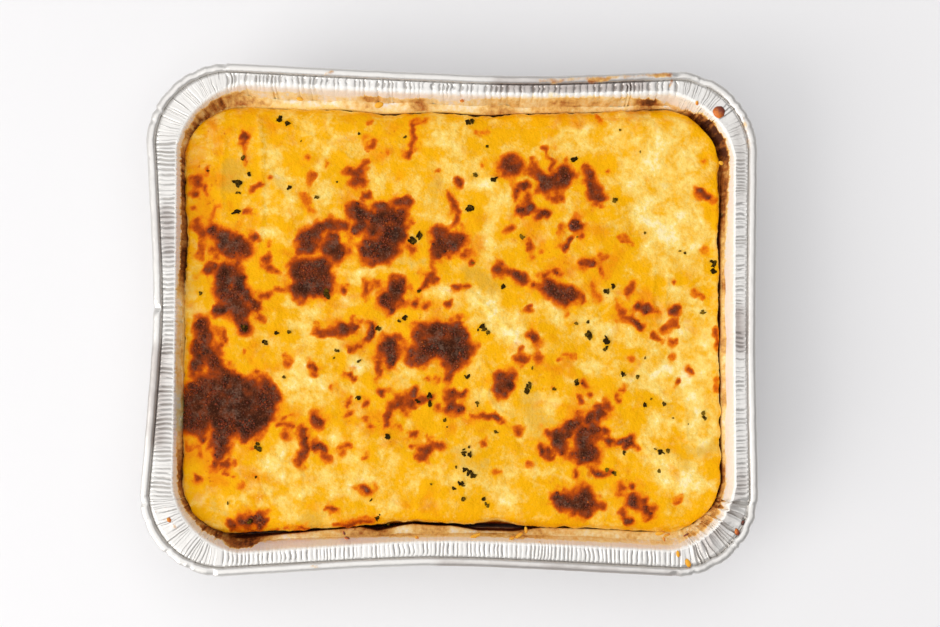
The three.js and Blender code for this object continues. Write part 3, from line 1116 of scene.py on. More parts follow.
@dataclass(frozen=True)
class CrumbFinish:
    """Loose bits of cheese on the foil."""

    yellow: Rgb = (238, 170, 28)
    orange: Rgb = (206, 112, 30)

    def build(self) -> bpy.types.Material:
        """Makes the material.

        Returns:
            The material, which reads the field tone.
        """
        graph = Graph("cheese_crumb")
        mottle = graph.noise(1.0)
        share = graph.plus(graph.attribute("tone"), graph.minus(mottle, 0.5))
        return graph.finish(
            Base_Color=graph.mix(graph.step(share, 0.1, 0.9), self.yellow, self.orange),
            Roughness=graph.plus(0.35, graph.times(mottle, 0.2)),
            Specular_IOR_Level=0.4,
            Subsurface_Weight=0.1,
            Subsurface_Radius=(0.001, 0.0006, 0.0002),
            Subsurface_Scale=1.0,
            Normal=graph.bump(graph.noise(0.6, detail=2.0, shift=0.4), 0.08),
        )


@dataclass(frozen=True)
class ResidueFinish:
    """Cheese and sauce dried beside the food: the foil's film, thicker, with a pale soft lip."""

    lip: Rgb = (254, 232, 156)
    curd: Rgb = (252, 214, 106)
    film: FilmFinish = FilmFinish()

    def build(self) -> bpy.types.Material:
        """Makes the material.

        Returns:
            The material, which reads the fields tone, fade and lip.
        """
        graph = Graph("dried_residue")
        ragged = graph.total((graph.attribute("lip"), 1.0), (graph.mottle(2.4, shift=2.2), 0.3))
        film = self.film.colour(graph, self.film.tone(graph))
        crust = graph.noise(1.0, shift=0.7)
        curds = graph.step(graph.mottle(1.8, shift=3.0), -0.3, 0.8)
        return graph.finish(
            Base_Color=graph.mix(graph.step(ragged, 0.1, 0.6), film, graph.mix(curds, self.lip, self.curd)),
            Roughness=graph.plus(0.4, graph.times(crust, 0.2)),
            Specular_IOR_Level=0.3,
            Normal=graph.bump(crust, 0.2),
        )


@dataclass(frozen=True)
class BackdropFinish:
    """The matt white sheet under the tray."""

    white: Rgb = (243, 242, 243)

    def build(self) -> bpy.types.Material:
        """Makes the material.

        Returns:
            The material.
        """
        graph = Graph("white_sheet")
        fibres = graph.noise(1.5, detail=2.0)
        return graph.finish(
            Base_Color=srgb(*self.white),
            Roughness=0.9,
            Specular_IOR_Level=0.0,
            Normal=graph.bump(fibres, 0.01),
        )


# --- Foil tray ---

class Side(Enum):
    """The tray's sides, by their number on a ring."""

    RIGHT = 0
    BACK = 1
    LEFT = 2
    FRONT = 3


@dataclass(frozen=True)
class RibStyle:
    """How the flange of one side is ribbed, and how roundly it bends into the wall."""

    pitch: float
    depth: float
    unevenness: float
    begin: float         # from the bead, as a share of the flange
    end: float           # past 1 the grooves run on down the wall
    bend: float          # radius of the bend
    long_share: float = 0.0


RIB_STYLES = {
    Side.RIGHT: RibStyle(pitch=2.2, depth=0.42, unevenness=0.35, begin=0.02, end=1.15, bend=1.9),
    Side.BACK: RibStyle(
        pitch=3.0, depth=0.9, unevenness=0.55, begin=0.04, end=1.2, bend=4.2, long_share=0.5,
    ),
    Side.LEFT: RibStyle(pitch=2.4, depth=0.75, unevenness=0.25, begin=0.02, end=1.3, bend=1.9),
    Side.FRONT: RibStyle(pitch=2.3, depth=0.55, unevenness=0.4, begin=0.02, end=1.25, bend=2.8),
}

# One groove across its pitch: share of the pitch, depth, and whether coarse rows keep the line.
RIB_SECTION = (
    (0.0, 0.0, True), (0.36, 0.05, False), (0.56, 0.35, False), (0.72, 1.0, True), (0.88, 0.35, False),
)
# One pleat across its width, in the same form with heights: folded over, or a narrow crease.
FOLD_SECTION = (
    (0.0, -1.0, True), (0.3, -0.3, False), (0.58, 0.4, True), (0.8, 1.0, False), (0.9, 0.5, False),
)
CREASE_SECTION = (
    (0.0, 0.05, True), (0.4, 0.2, False), (0.72, 0.05, False), (0.84, -1.0, True), (0.94, 0.0, False),
)
# The bead, from the hidden end of its curl to the flange: distance in from the rim, and level.
BEAD_SECTION = (
    (0.55, 56.4), (0.12, 57.0), (0.0, 57.9), (0.1, 58.8), (0.36, 59.35), (0.85, 59.75),
    (1.8, 60.0), (2.9, 60.0), (3.7, 59.8), (4.2, 59.35), (4.48, 58.5),
)
# The bend into the base and the step of its raised middle: distance in from the wall, and level.
BASE_SECTION = (
    (0.3 * BASE_RADIUS, FOIL + 0.28 * BASE_RADIUS), (BASE_RADIUS, FOIL),
    (14.0, FOIL), (15.0, FOIL + 0.7), (24.0, FOIL + 0.7),
)


@dataclass(frozen=True)
class Stations:
    """Lines across the foil, one value each."""

    place: Array
    groove: Array
    groove_begin: Array
    groove_end: Array
    outer_pleat: Array
    inner_pleat: Array
    kept: Array


@dataclass(frozen=True)
class TrayRow:
    """One line round the tray. `reach` is 0 at the bead, 1 at the bend and 2 at the wall's foot."""

    flat: Array
    level: Array
    reach: float
    lift: float = 0.0
    push: float = 0.0
    bead: bool = False
    fine: bool = False


@dataclass(frozen=True)
class FilmZone:
    """Baked-on film on the wall at one place on the ring, and painted shade where the gap beside the food
    is open.
    """

    place: float
    top: float           # level at which it clears
    # dark tones where thickness is near 0 paint the shade in the open gap
    tone: float          # 0.2 cream, 0.45 golden, 0.75 brown, 1 burnt
    thickness: float     # 1 where it fills the gap beside the food, 0 where the gap is open


# Where thickness is near 0 and the gap beside the food is open, the dark tones paint the shade in the gap.
FILM_ZONES = tuple(FilmZone(*numbers) for numbers in (
    (0.0, 53, 0.35, 1.0), (0.3, 53.5, 0.38, 1.0), (0.55, 54, 0.45, 0.9), (0.8, 53, 0.65, 0.3),
    (1.05, 50, 0.65, 0.3), (1.2, 48, 0.35, 0.7), (1.45, 47.5, 0.35, 0.8), (1.62, 48, 0.5, 0.5),
    (1.8, 51, 0.65, 0.3), (1.95, 54.5, 0.85, 0.1), (2.1, 55.5, 0.95, 0.0), (2.35, 55.5, 1.0, 0.0),
    (2.6, 53, 0.95, 0.05), (2.8, 49, 0.6, 0.4), (2.95, 46, 0.3, 0.9), (3.03, 48, 0.3, 0.9),
    (3.055, 54, 0.85, 0.8), (3.08, 54, 0.75, 0.9), (3.1, 56, 0.42, 1.0), (3.2, 57, 0.4, 1.0),
    (3.35, 57, 0.42, 1.0), (3.43, 55.5, 0.38, 1.0), (3.47, 51.5, 0.2, 1.0), (3.52, 51.5, 0.2, 1.0),
    (3.57, 53.5, 0.5, 1.0), (3.61, 51, 0.15, 1.0), (3.65, 51, 0.2, 1.0), (3.69, 53.5, 0.5, 1.0),
    (3.73, 51, 0.1, 1.0), (3.8, 51.5, 0.2, 1.0), (3.87, 53.5, 0.35, 1.0), (3.95, 53.5, 0.35, 1.0),
    (4.0, 54, 0.5, 1.0), (4.1, 55, 0.65, 1.0), (4.4, 55, 0.6, 0.9), (4.7, 54.5, 0.58, 0.8),
    (4.95, 55, 0.6, 0.5), (5.1, 53.5, 0.85, 0.0), (5.35, 53.5, 0.8, 0.1), (5.45, 57, 0.3, 0.9),
    (5.65, 57, 0.3, 0.9), (5.8, 55, 0.4, 0.4), (5.95, 53, 0.85, 0.05), (6.2, 53, 0.76, 0.2),
    (6.5, 53, 0.68, 0.3), (6.8, 52, 0.75, 0.1), (7.0, 51, 0.7, 0.1), (7.02, 54, 0.85, 0.1),
    (7.07, 53, 0.8, 0.2), (7.085, 46.5, 0.45, 0.3), (7.15, 46.5, 0.35, 0.5), (7.22, 48, 0.4, 0.75),
    (7.3, 48.5, 0.4, 0.8), (7.34, 49, 0.5, 0.2), (7.42, 51.5, 0.36, 0.85), (7.5, 51.5, 0.35, 0.85),
    (7.56, 51.5, 0.42, 0.1), (7.64, 51.5, 0.42, 0.1), (7.7, 51.5, 0.36, 0.85), (7.85, 52, 0.38, 0.95),
))


def film_around(places: Array) -> dict[str, Array]:
    """Blends the film zones' numbers round the ring.

    Args:
        places: Places on the ring.

    Returns:
        By name, one number for each place.
    """
    at = [zone.place for zone in FILM_ZONES]
    wrapped = np.mod(places, RING_SPAN)
    return {
        name: np.interp(wrapped, at, [getattr(zone, name) for zone in FILM_ZONES], period=RING_SPAN)
        for name in ("top", "tone", "thickness")
    }


def wall_points(rim_places: Array, level: Array | float) -> Array:
    """Finds points on the inside of the wall.

    Args:
        rim_places: Places on the rim that the points face.
        level: Their levels, one for all or one each.

    Returns:
        One (x, y) row for each place.
    """
    share = (np.asarray(level, float) - WALL_FOOT) / (WALL_HEAD - WALL_FOOT)
    foot, head = BASE.facing(RIM, rim_places), BEND.facing(RIM, rim_places)
    return foot + (head - foot) * np.reshape(share, (-1, 1))


@dataclass
class FoilTray:
    """The pressed foil tray: base, wall, ribbed flange and rolled bead in one sheet."""

    camera: OverheadCamera
    finish: FoilFinish
    seed: int = 7
    pleats: tuple[int, ...] = (23, 31, 31, 29)      # in each corner
    pleat_lift: float = 0.3
    pleat_push: float = 0.55
    corner_pleating: tuple[float, ...] = (2.8, 1.3, 1.2, 1.6)
    corner_bend: float = 2.6
    bead_crinkle: float = 0.55
    wall_buckle: float = 0.3
    rib_sway: float = 0.6
    wander_cell: float = 22.0        # cell sizes of the noise that buckles the wall and flange,
    crinkle_cell: float = 2.2        # crinkles the bead
    sway_cell: float = 3.0           # and sways the ribs
    stains: tuple[Patch, ...] = strokes(
        (85, 2.2, 589, 81, 607, 80), (60, 2.2, 552, 83, 560, 82), (50, 2.4, 540, 81, 672, 75),
        (75, 2.4, 652, 76, 672, 75), (70, 1.4, 672, 80, 668, 90), (55, 1.8, 165, 520, 180, 530),
        (50, 1.4, 155, 512, 165, 508), (55, 2, 325, 74, 333, 72), (60, 1.6, 312, 566, 318, 566),
        (40, 3, 743, 118, 750, 150),
    )
    # Painted shade: patches where the foil is painted a darker grey, for the shaded bead and for flange
    # reflecting darker surroundings.
    painted_shade_patches: tuple[Patch, ...] = strokes(
        (80, 8, 500, 86, 560, 88, 640, 86), (60, 9, 166, 215, 168, 250), (65, 9, 160, 350, 156, 440),
        (80, 7, 738, 312, 740, 345), (35, 6, 739, 120, 741, 200), (50, 14, 738, 480, 705, 540),
        (100, 1.4, 440, 565, 560, 569, 676, 577),
    )
    nicks: tuple[tuple[float, float, float, float], ...] = (      # across, down, length and depth
        (156, 307.5, 2.2, 1.3), (222, 64, 1.6, 0.9), (678, 73, 1.8, 0.9), (676, 575, 1.8, 0.9),
        (212, 573, 2, 0.8),
    )

    def stations(self) -> Stations:
        """Lays out the lines across the foil, closer together where it is ribbed or pleated."""
        random = np.random.default_rng(self.seed)
        rows: list[tuple[float, ...]] = []
        for side in Side:
            rows += self.corner_lines(side.value, random)
            rows += self.side_lines(side, random)
        rows.append((float(RING_SPAN), *rows[0][1:]))
        table = np.array(rows).T
        return Stations(*table[:6], kept=table[6] > 0.5)

    def corner_lines(self, corner: int, random: np.random.Generator) -> list[tuple[float, ...]]:
        """Lines round one pleated corner.

        Args:
            corner: The corner's number.
            random: Source of uneven widths and heights.

        Returns:
            For each line its place, three groove values, two pleat heights and whether it is kept.
        """
        count = self.pleats[corner]
        widths = random.uniform(0.45, 1.6, count)
        starts = np.concatenate([[0.0], np.cumsum(widths)]) / widths.sum()
        heights = self.corner_pleating[corner] * random.uniform(0.3, 1.3, count) ** 1.3
        heights *= np.where(random.random(count) < 0.3, -1.0, 1.0)
        outer = random.uniform(0.55 if corner == 0 else 0.1, 1.1, count)
        inner = random.uniform(0.2, 1.1, count)
        lines = []
        for k, height in enumerate(heights):
            ends = 1.0 if 0 < k < count - 1 else 0.6
            for share, rise, kept in FOLD_SECTION if corner == 0 else CREASE_SECTION:
                place = 2 * corner + starts[k] + (starts[k + 1] - starts[k]) * share
                pleat = rise * height * ends
                lines.append((place, 0.0, 0.0, 0.0, pleat * outer[k], pleat * inner[k], float(kept)))
        return lines

    def side_lines(self, side: Side, random: np.random.Generator) -> list[tuple[float, ...]]:
        """Lines along one ribbed side.

        Args:
            side: The side.
            random: Source of uneven widths, depths and lengths.

        Returns:
            The lines, in the same form as those of a corner.
        """
        style = RIB_STYLES[side]
        start, end = RIM.runs()[side.value]
        count = round((end - start) / style.pitch)
        widths = random.uniform(1.0 - style.unevenness, 1.0 + style.unevenness, count)
        starts = np.concatenate([[0.0], np.cumsum(widths)]) / widths.sum()
        lines = []
        for k in range(count):
            depth = style.depth * random.uniform(0.35, 1.25)
            begin = style.begin + random.uniform(0.0, 0.14)
            end = style.end - random.uniform(0.0, 0.25)
            if random.random() < style.long_share:
                end = random.uniform(1.25, 1.5)
            for share, deep, kept in RIB_SECTION:
                place = 2 * side.value + 1 + starts[k] + (starts[k + 1] - starts[k]) * share
                lines.append((place, depth * deep, begin, end, 0.0, 0.0, float(kept)))
        return lines

    def bend_radii(self, place: Array) -> Array:
        """Works out how roundly the flange bends into the wall.

        Args:
            place: Places on the rim.

        Returns:
            The radius of the bend at each place.
        """
        knots: list[float] = []
        radii: list[float] = []
        for side in Side:
            start = 2 * side.value
            knots += [start + 0.25, start + 0.75, start + 1.12, start + 1.88]
            radii += [self.corner_bend, self.corner_bend, RIB_STYLES[side].bend, RIB_STYLES[side].bend]
        return np.interp(np.mod(place, RING_SPAN), knots, radii, period=RING_SPAN)

    def rows(self, place: Array) -> tuple[list[TrayRow], Array]:
        """Lists the lines round the tray, from the end of the bead's curl to the base.

        Args:
            place: The lines across the foil, as places on the rim.

        Returns:
            The lines round, and the direction away from the tray at each line across.
        """
        def level(height: float) -> Array:
            """One height for every line across."""
            return np.full(len(place), height)

        bend = BEND.facing(RIM, place)
        outward = RIM.facing(RIM, place) - bend
        outward /= np.linalg.norm(outward, axis=1)[:, None]
        rows = [
            TrayRow(RIM.inset(inset).facing(RIM, place), level(height), 0.0, bead=True)
            for inset, height in BEAD_SECTION
        ]
        crease = RIM.inset(BEAD_WIDTH + 0.1).facing(RIM, place)
        rows.append(TrayRow(crease, level(FLANGE_TOP - 0.75), 0.0, lift=0.3, fine=True))

        tangent = 0.74 * self.bend_radii(place)[:, None]
        foot = wall_points(place, FLANGE_TOP)
        slope = foot - wall_points(place, FLANGE_TOP - 1.0)
        outer = RIM.inset(BEAD_WIDTH + 0.6).facing(RIM, place)
        inner = foot + outward * tangent
        for share in (0.0, 0.16, 0.38, 0.62, 0.84, 1.0):
            flat = outer + (inner - outer) * share
            lift = self.pleat_lift * (0.85 + 0.15 * share)
            rows.append(TrayRow(flat, level(FLANGE_TOP), 0.9 * share, lift=lift, fine=True))
        for share in (0.78, 0.56, 0.36, 0.18, 0.0):
            start, middle, end = (1 - share) ** 2, 2 * share * (1 - share), share * share
            low = foot - slope * tangent * 0.95
            flat = start * low + middle * foot + end * inner
            height = FLANGE_TOP - start * 0.95 * tangent[:, 0]
            turn = 1.0 - share
            rows.append(TrayRow(
                flat, height, 0.9 + 0.2 * turn, lift=self.pleat_lift * (1.0 - 0.8 * turn),
                push=self.pleat_push * turn, fine=True,
            ))
        top = FLANGE_TOP - 0.95 * tangent[:, 0]
        for share in (0.88, 0.76, 0.62, 0.46, 0.3, 0.14, 0.0):
            height = WALL_FOOT + (top - WALL_FOOT) * share
            push = self.pleat_push * share
            rows.append(TrayRow(wall_points(place, height), height, 2.0 - 0.9 * share, push=push))
        for inset, height in BASE_SECTION:
            rows.append(TrayRow(BASE.inset(inset).facing(RIM, place), level(height), 2.0))
        return rows, outward

    def row_points(self, row: TrayRow, lines: Stations, outward: Array, noise: Noise) -> Array:
        """Places one line round the tray, with its pleats, grooves and dents.

        Args:
            row: The line.
            lines: Lines across the foil.
            outward: Direction away from the tray at each of them.
            noise: Source of the foil's unevenness.

        Returns:
            One point for each line across.
        """
        place, flat, level = lines.place, row.flat, row.level
        length = place * RING_UNIT          # a ring's place as a rough length, for the noise
        seam = smooth_step(np.minimum(place, RING_SPAN - place), 0.0, 0.1)
        wander = seam * noise.fractal(length, np.full_like(length, 25.0 * row.reach), self.wander_cell, 2)
        share = min(row.reach, 1.0)
        pleat = lines.outer_pleat + (lines.inner_pleat - lines.outer_pleat) * share
        if row.bead:
            corner = 1.0 - smooth_step(np.abs(np.mod(place, 2.0) - 0.5), 0.46, 0.6)
            rough = seam * noise.fractal(length, np.full_like(length, 90.0), self.crinkle_cell, 2)
            crinkle = 1.8 * corner * np.maximum(rough, 0.0) + 0.25 * (1.0 + rough)
            notch = self.bead_crinkle * crinkle
            flat = flat - outward * (0.9 * notch)[:, None]
            level = level - 0.7 * notch
        elif row.reach < 1.0:
            level = level + 0.22 * wander
            sway = seam * noise.fractal(length, np.full_like(length, 6.0 * row.reach), self.sway_cell, 2)
            along_rim = np.column_stack([-outward[:, 1], outward[:, 0]])
            flat = flat + along_rim * (self.rib_sway * sway)[:, None]
        else:
            swell = math.sin(math.pi * min(max((2.0 - row.reach) / 0.95, 0.0), 1.0))
            flat = flat + outward * (self.wall_buckle * swell * wander)[:, None]
        level = level + row.lift * pleat
        flat = flat + outward * (row.push * pleat)[:, None]

        along = smooth_step(row.reach - lines.groove_begin, -0.06, 0.06)
        along *= 1.0 - smooth_step(row.reach - lines.groove_end, -0.1, 0.1)
        groove = lines.groove * along * (not row.bead)
        turn = float(smooth_step(np.array(row.reach), 0.9, 1.1))
        level = level - groove * (1.0 - turn)
        flat = flat + outward * (0.9 * turn * groove)[:, None]
        return np.column_stack([flat, level])

    def crush(self, points: Array, reach: Array) -> Array:
        """Presses the bead in where it is nicked.

        Args:
            points: The foil's points, which are moved.
            reach: Their rows' reach.

        Returns:
            The same points.
        """
        for across, down, length, depth in self.nicks:
            spot = self.camera.cast([(across, down)], TRAY_HEIGHT)[0]
            away = np.linalg.norm(points[:, :2] - spot, axis=1) / length
            amount = depth * np.exp(-away ** 4) * (reach < 0.05)
            inward = -points[:, :2] / np.linalg.norm(points[:, :2], axis=1)[:, None]
            points[:, 2] -= amount
            points[:, :2] += 0.5 * inward * amount[:, None]
        return points

    def fields(self, points: Array, place: Array, reach: Array, noise: Noise) -> dict[str, Array]:
        """Works out how much film covers each point, how brown it is, and where the metal is painted darker
        as shade.

        Args:
            points: The foil's points.
            place: Their places on the rim.
            reach: Their rows' reach.
            noise: Source of ragged edges.

        Returns:
            The fields that the finish reads.
        """
        around = film_around(place)
        streaks = noise.fractal(place * RING_UNIT, np.zeros(len(place)), 4.0, 3)
        cover = smooth_step(reach, 0.88, 1.0) * smooth_step(points[:, 2], 30.0, 38.0)
        stain = PatchField(self.stains, self.camera, FLANGE_TOP, softness=1.3).at(points[:, :2])
        stain *= reach < 0.9
        stained = stain > 0.08
        # Painted shade on the flange and bead.
        painted_shade = PatchField(self.painted_shade_patches, self.camera, FLANGE_TOP, softness=7.0).at(points[:, :2])
        return {
            "film": np.maximum(cover, 1.1 * stain),
            "tone": np.where(stained, 0.45 + 0.3 * stain, around["tone"] + 0.3 * streaks),
            "fade": np.where(stained, 2.0 * TRAY_HEIGHT, around["top"]),
            "painted_shade": painted_shade * (reach < 1.0),
        }

    def build(self) -> bpy.types.Object:
        """Builds the tray and gives it its finish.

        Returns:
            The tray, riding on the body and standing for its node.
        """
        lines = self.stations()
        rows, outward = self.rows(lines.place)
        noise = Noise(self.seed)
        tray, column, row_line = add_sheet("foil_tray_shell", len(lines.place) - 1, len(rows) - 1)
        laid = np.array([self.row_points(row, lines, outward, noise) for row in rows])
        points = laid[row_line, column]
        reach = np.array([row.reach for row in rows])[row_line]
        place = lines.place[column]
        points = self.crush(points, reach)
        low, high = (np.array(corner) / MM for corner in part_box("foil_tray"))
        points = np.clip(points, low, high)
        write_points(tray.data, points)
        for name, values in self.fields(points, place, reach, noise).items():
            write_field(tray.data, name, values)

        fine = np.array([row.fine for row in rows])
        ends = edge_ends(tray.data)
        across = column[ends[:, 0]] == column[ends[:, 1]]
        spare = ~lines.kept[column[ends[:, 0]]]
        coarse = ~(fine[row_line[ends[:, 0]]] & fine[row_line[ends[:, 1]]])
        make_active(tray)
        select_edges(tray.data, across & spare & coarse)
        with editing():
            bpy.ops.mesh.dissolve_edges(use_verts=True)
        weld(tray, WELD)
        self.close_base(tray)
        inside = len(tray.data.vertices)
        thicken(tray, FOIL)
        overwrite_field(tray.data, "film", inside, 0.0)
        shade(tray, sharp_above=60.0)
        tray.data.materials.append(self.finish.build())
        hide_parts("foil_tray")
        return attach(tray, "root")

    @staticmethod
    def close_base(tray: bpy.types.Object) -> None:
        """Fills the middle of the base."""
        make_active(tray)
        rim = boundary_edges(tray.data)
        points = read_points(tray.data)
        low = points[edge_ends(tray.data)].max(axis=1)[:, 2] < 0.5 * TRAY_HEIGHT
        select_edges(tray.data, rim & low)
        close_opening()


@dataclass
class WallResidue:
    """Cheese and sauce dried onto the wall, from under the crust's edge to a ragged top line."""

    finish: ResidueFinish
    seed: int = 17
    columns: int = 1040
    rows: int = 12
    depth: float = 7.0                      # how far it goes down beside the food
    height: float = 3.0                     # how far above the crust's edge it goes
    sunk: float = 0.25                      # how far its top line is sunk into the foil
    overlap: float = 0.5                    # past the crust's mean edge, where it fills the gap
    lumps: float = 0.5
    skin: float = 0.1                       # thickness of the closed strip behind its face
    lip_height: float = 0.85
    lip_zones: tuple[tuple[float, float], ...] = (      # place on the ring, how pale the lip is there
        (0.0, 0.7), (0.9, 0.5), (1.1, 0.9), (2.9, 0.5), (3.1, 0.3), (3.4, 0.35), (3.5, 1.0),
        (6.0, 1.0), (6.9, 0.3), (7.7, 0.4), (8.0, 0.7),
    )

    @staticmethod
    def crust_edge(place: Array) -> tuple[Array, Array]:
        """Finds the crust's edge.

        Args:
            place: Places on the rim that it faces.

        Returns:
            One (x, y) row for each place, and the edge's level there.
        """
        knots = (0.3, 0.9, 2.1, 2.7, 4.3, 4.9, 6.1, 6.7)
        short, long = CRUST_TOP - SHORT_EDGE_DROP, CRUST_TOP - LONG_EDGE_DROP
        levels = (long, short, short, long, long, short, short, long)
        level = np.interp(np.mod(place, RING_SPAN), knots, levels, period=RING_SPAN)
        return CRUST.facing(RIM, place), level

    def build(self) -> bpy.types.Object:
        """Builds the strip round the food.

        Returns:
            The residue, riding on the body.
        """
        noise = Noise(self.seed)
        strip, column, row = add_sheet("wall_residue", self.columns, self.rows)
        place = column / self.columns * RING_SPAN
        share = row / self.rows
        zone = film_around(place)
        edge, edge_level = self.crust_edge(place)
        seam = smooth_step(np.minimum(place, RING_SPAN - place), 0.0, 0.08)
        ragged = seam * noise.fractal(place * RING_UNIT, np.zeros(len(place)), 4.0, 4)
        head = edge_level + self.height * np.maximum(1.0 + ragged, 0.4)
        foot = edge_level - self.depth
        level = foot + (head - foot) * share
        wall = wall_points(place, level)
        inward = BASE.facing(RIM, place) - RIM.facing(RIM, place)
        inward /= np.linalg.norm(inward, axis=1)[:, None]
        bumps = seam * noise.fractal(place * RING_UNIT, level + 200.0, 2.6, 3)
        cracks = seam * noise.fractal(place * RING_UNIT, np.full(len(place), 300.0), 9.0, 3)
        overlap = self.overlap * (1.0 - 2.5 * np.maximum(cracks, 0.0))
        gap = np.maximum(np.sum((edge - wall) * inward, axis=1) + overlap, 0.2)
        above = (level - edge_level) / (head - edge_level)
        swell = zone["thickness"] * (1.0 - smooth_step(above, 0.0, 0.95))
        thick = (gap + self.sunk) * swell - self.sunk + self.lumps * swell * (1.0 - swell) * bumps
        points = np.column_stack([wall + inward * thick[:, None], level])
        write_points(strip.data, points)
        shadow = 1.0 - smooth_step(level - edge_level, -3.0, -1.0)
        tone = zone["tone"] + 0.3 * seam * noise.fractal(place * RING_UNIT, np.zeros(len(place)), 4.0, 3)
        write_field(strip.data, "tone", tone + (1.2 - tone) * shadow)
        write_field(strip.data, "fade", zone["top"] + 2.0 * self.height)
        pale = np.interp(place, *zip(*self.lip_zones))
        lip = pale * zone["thickness"] * np.exp(-((level - edge_level) / self.lip_height) ** 2)
        write_field(strip.data, "lip", lip)
        weld(strip, WELD)
        thicken(strip, self.skin)
        turn_outwards(strip)
        shade(strip)
        strip.data.materials.append(self.finish.build())
        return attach(strip, "root")


# --- Lasagne ---

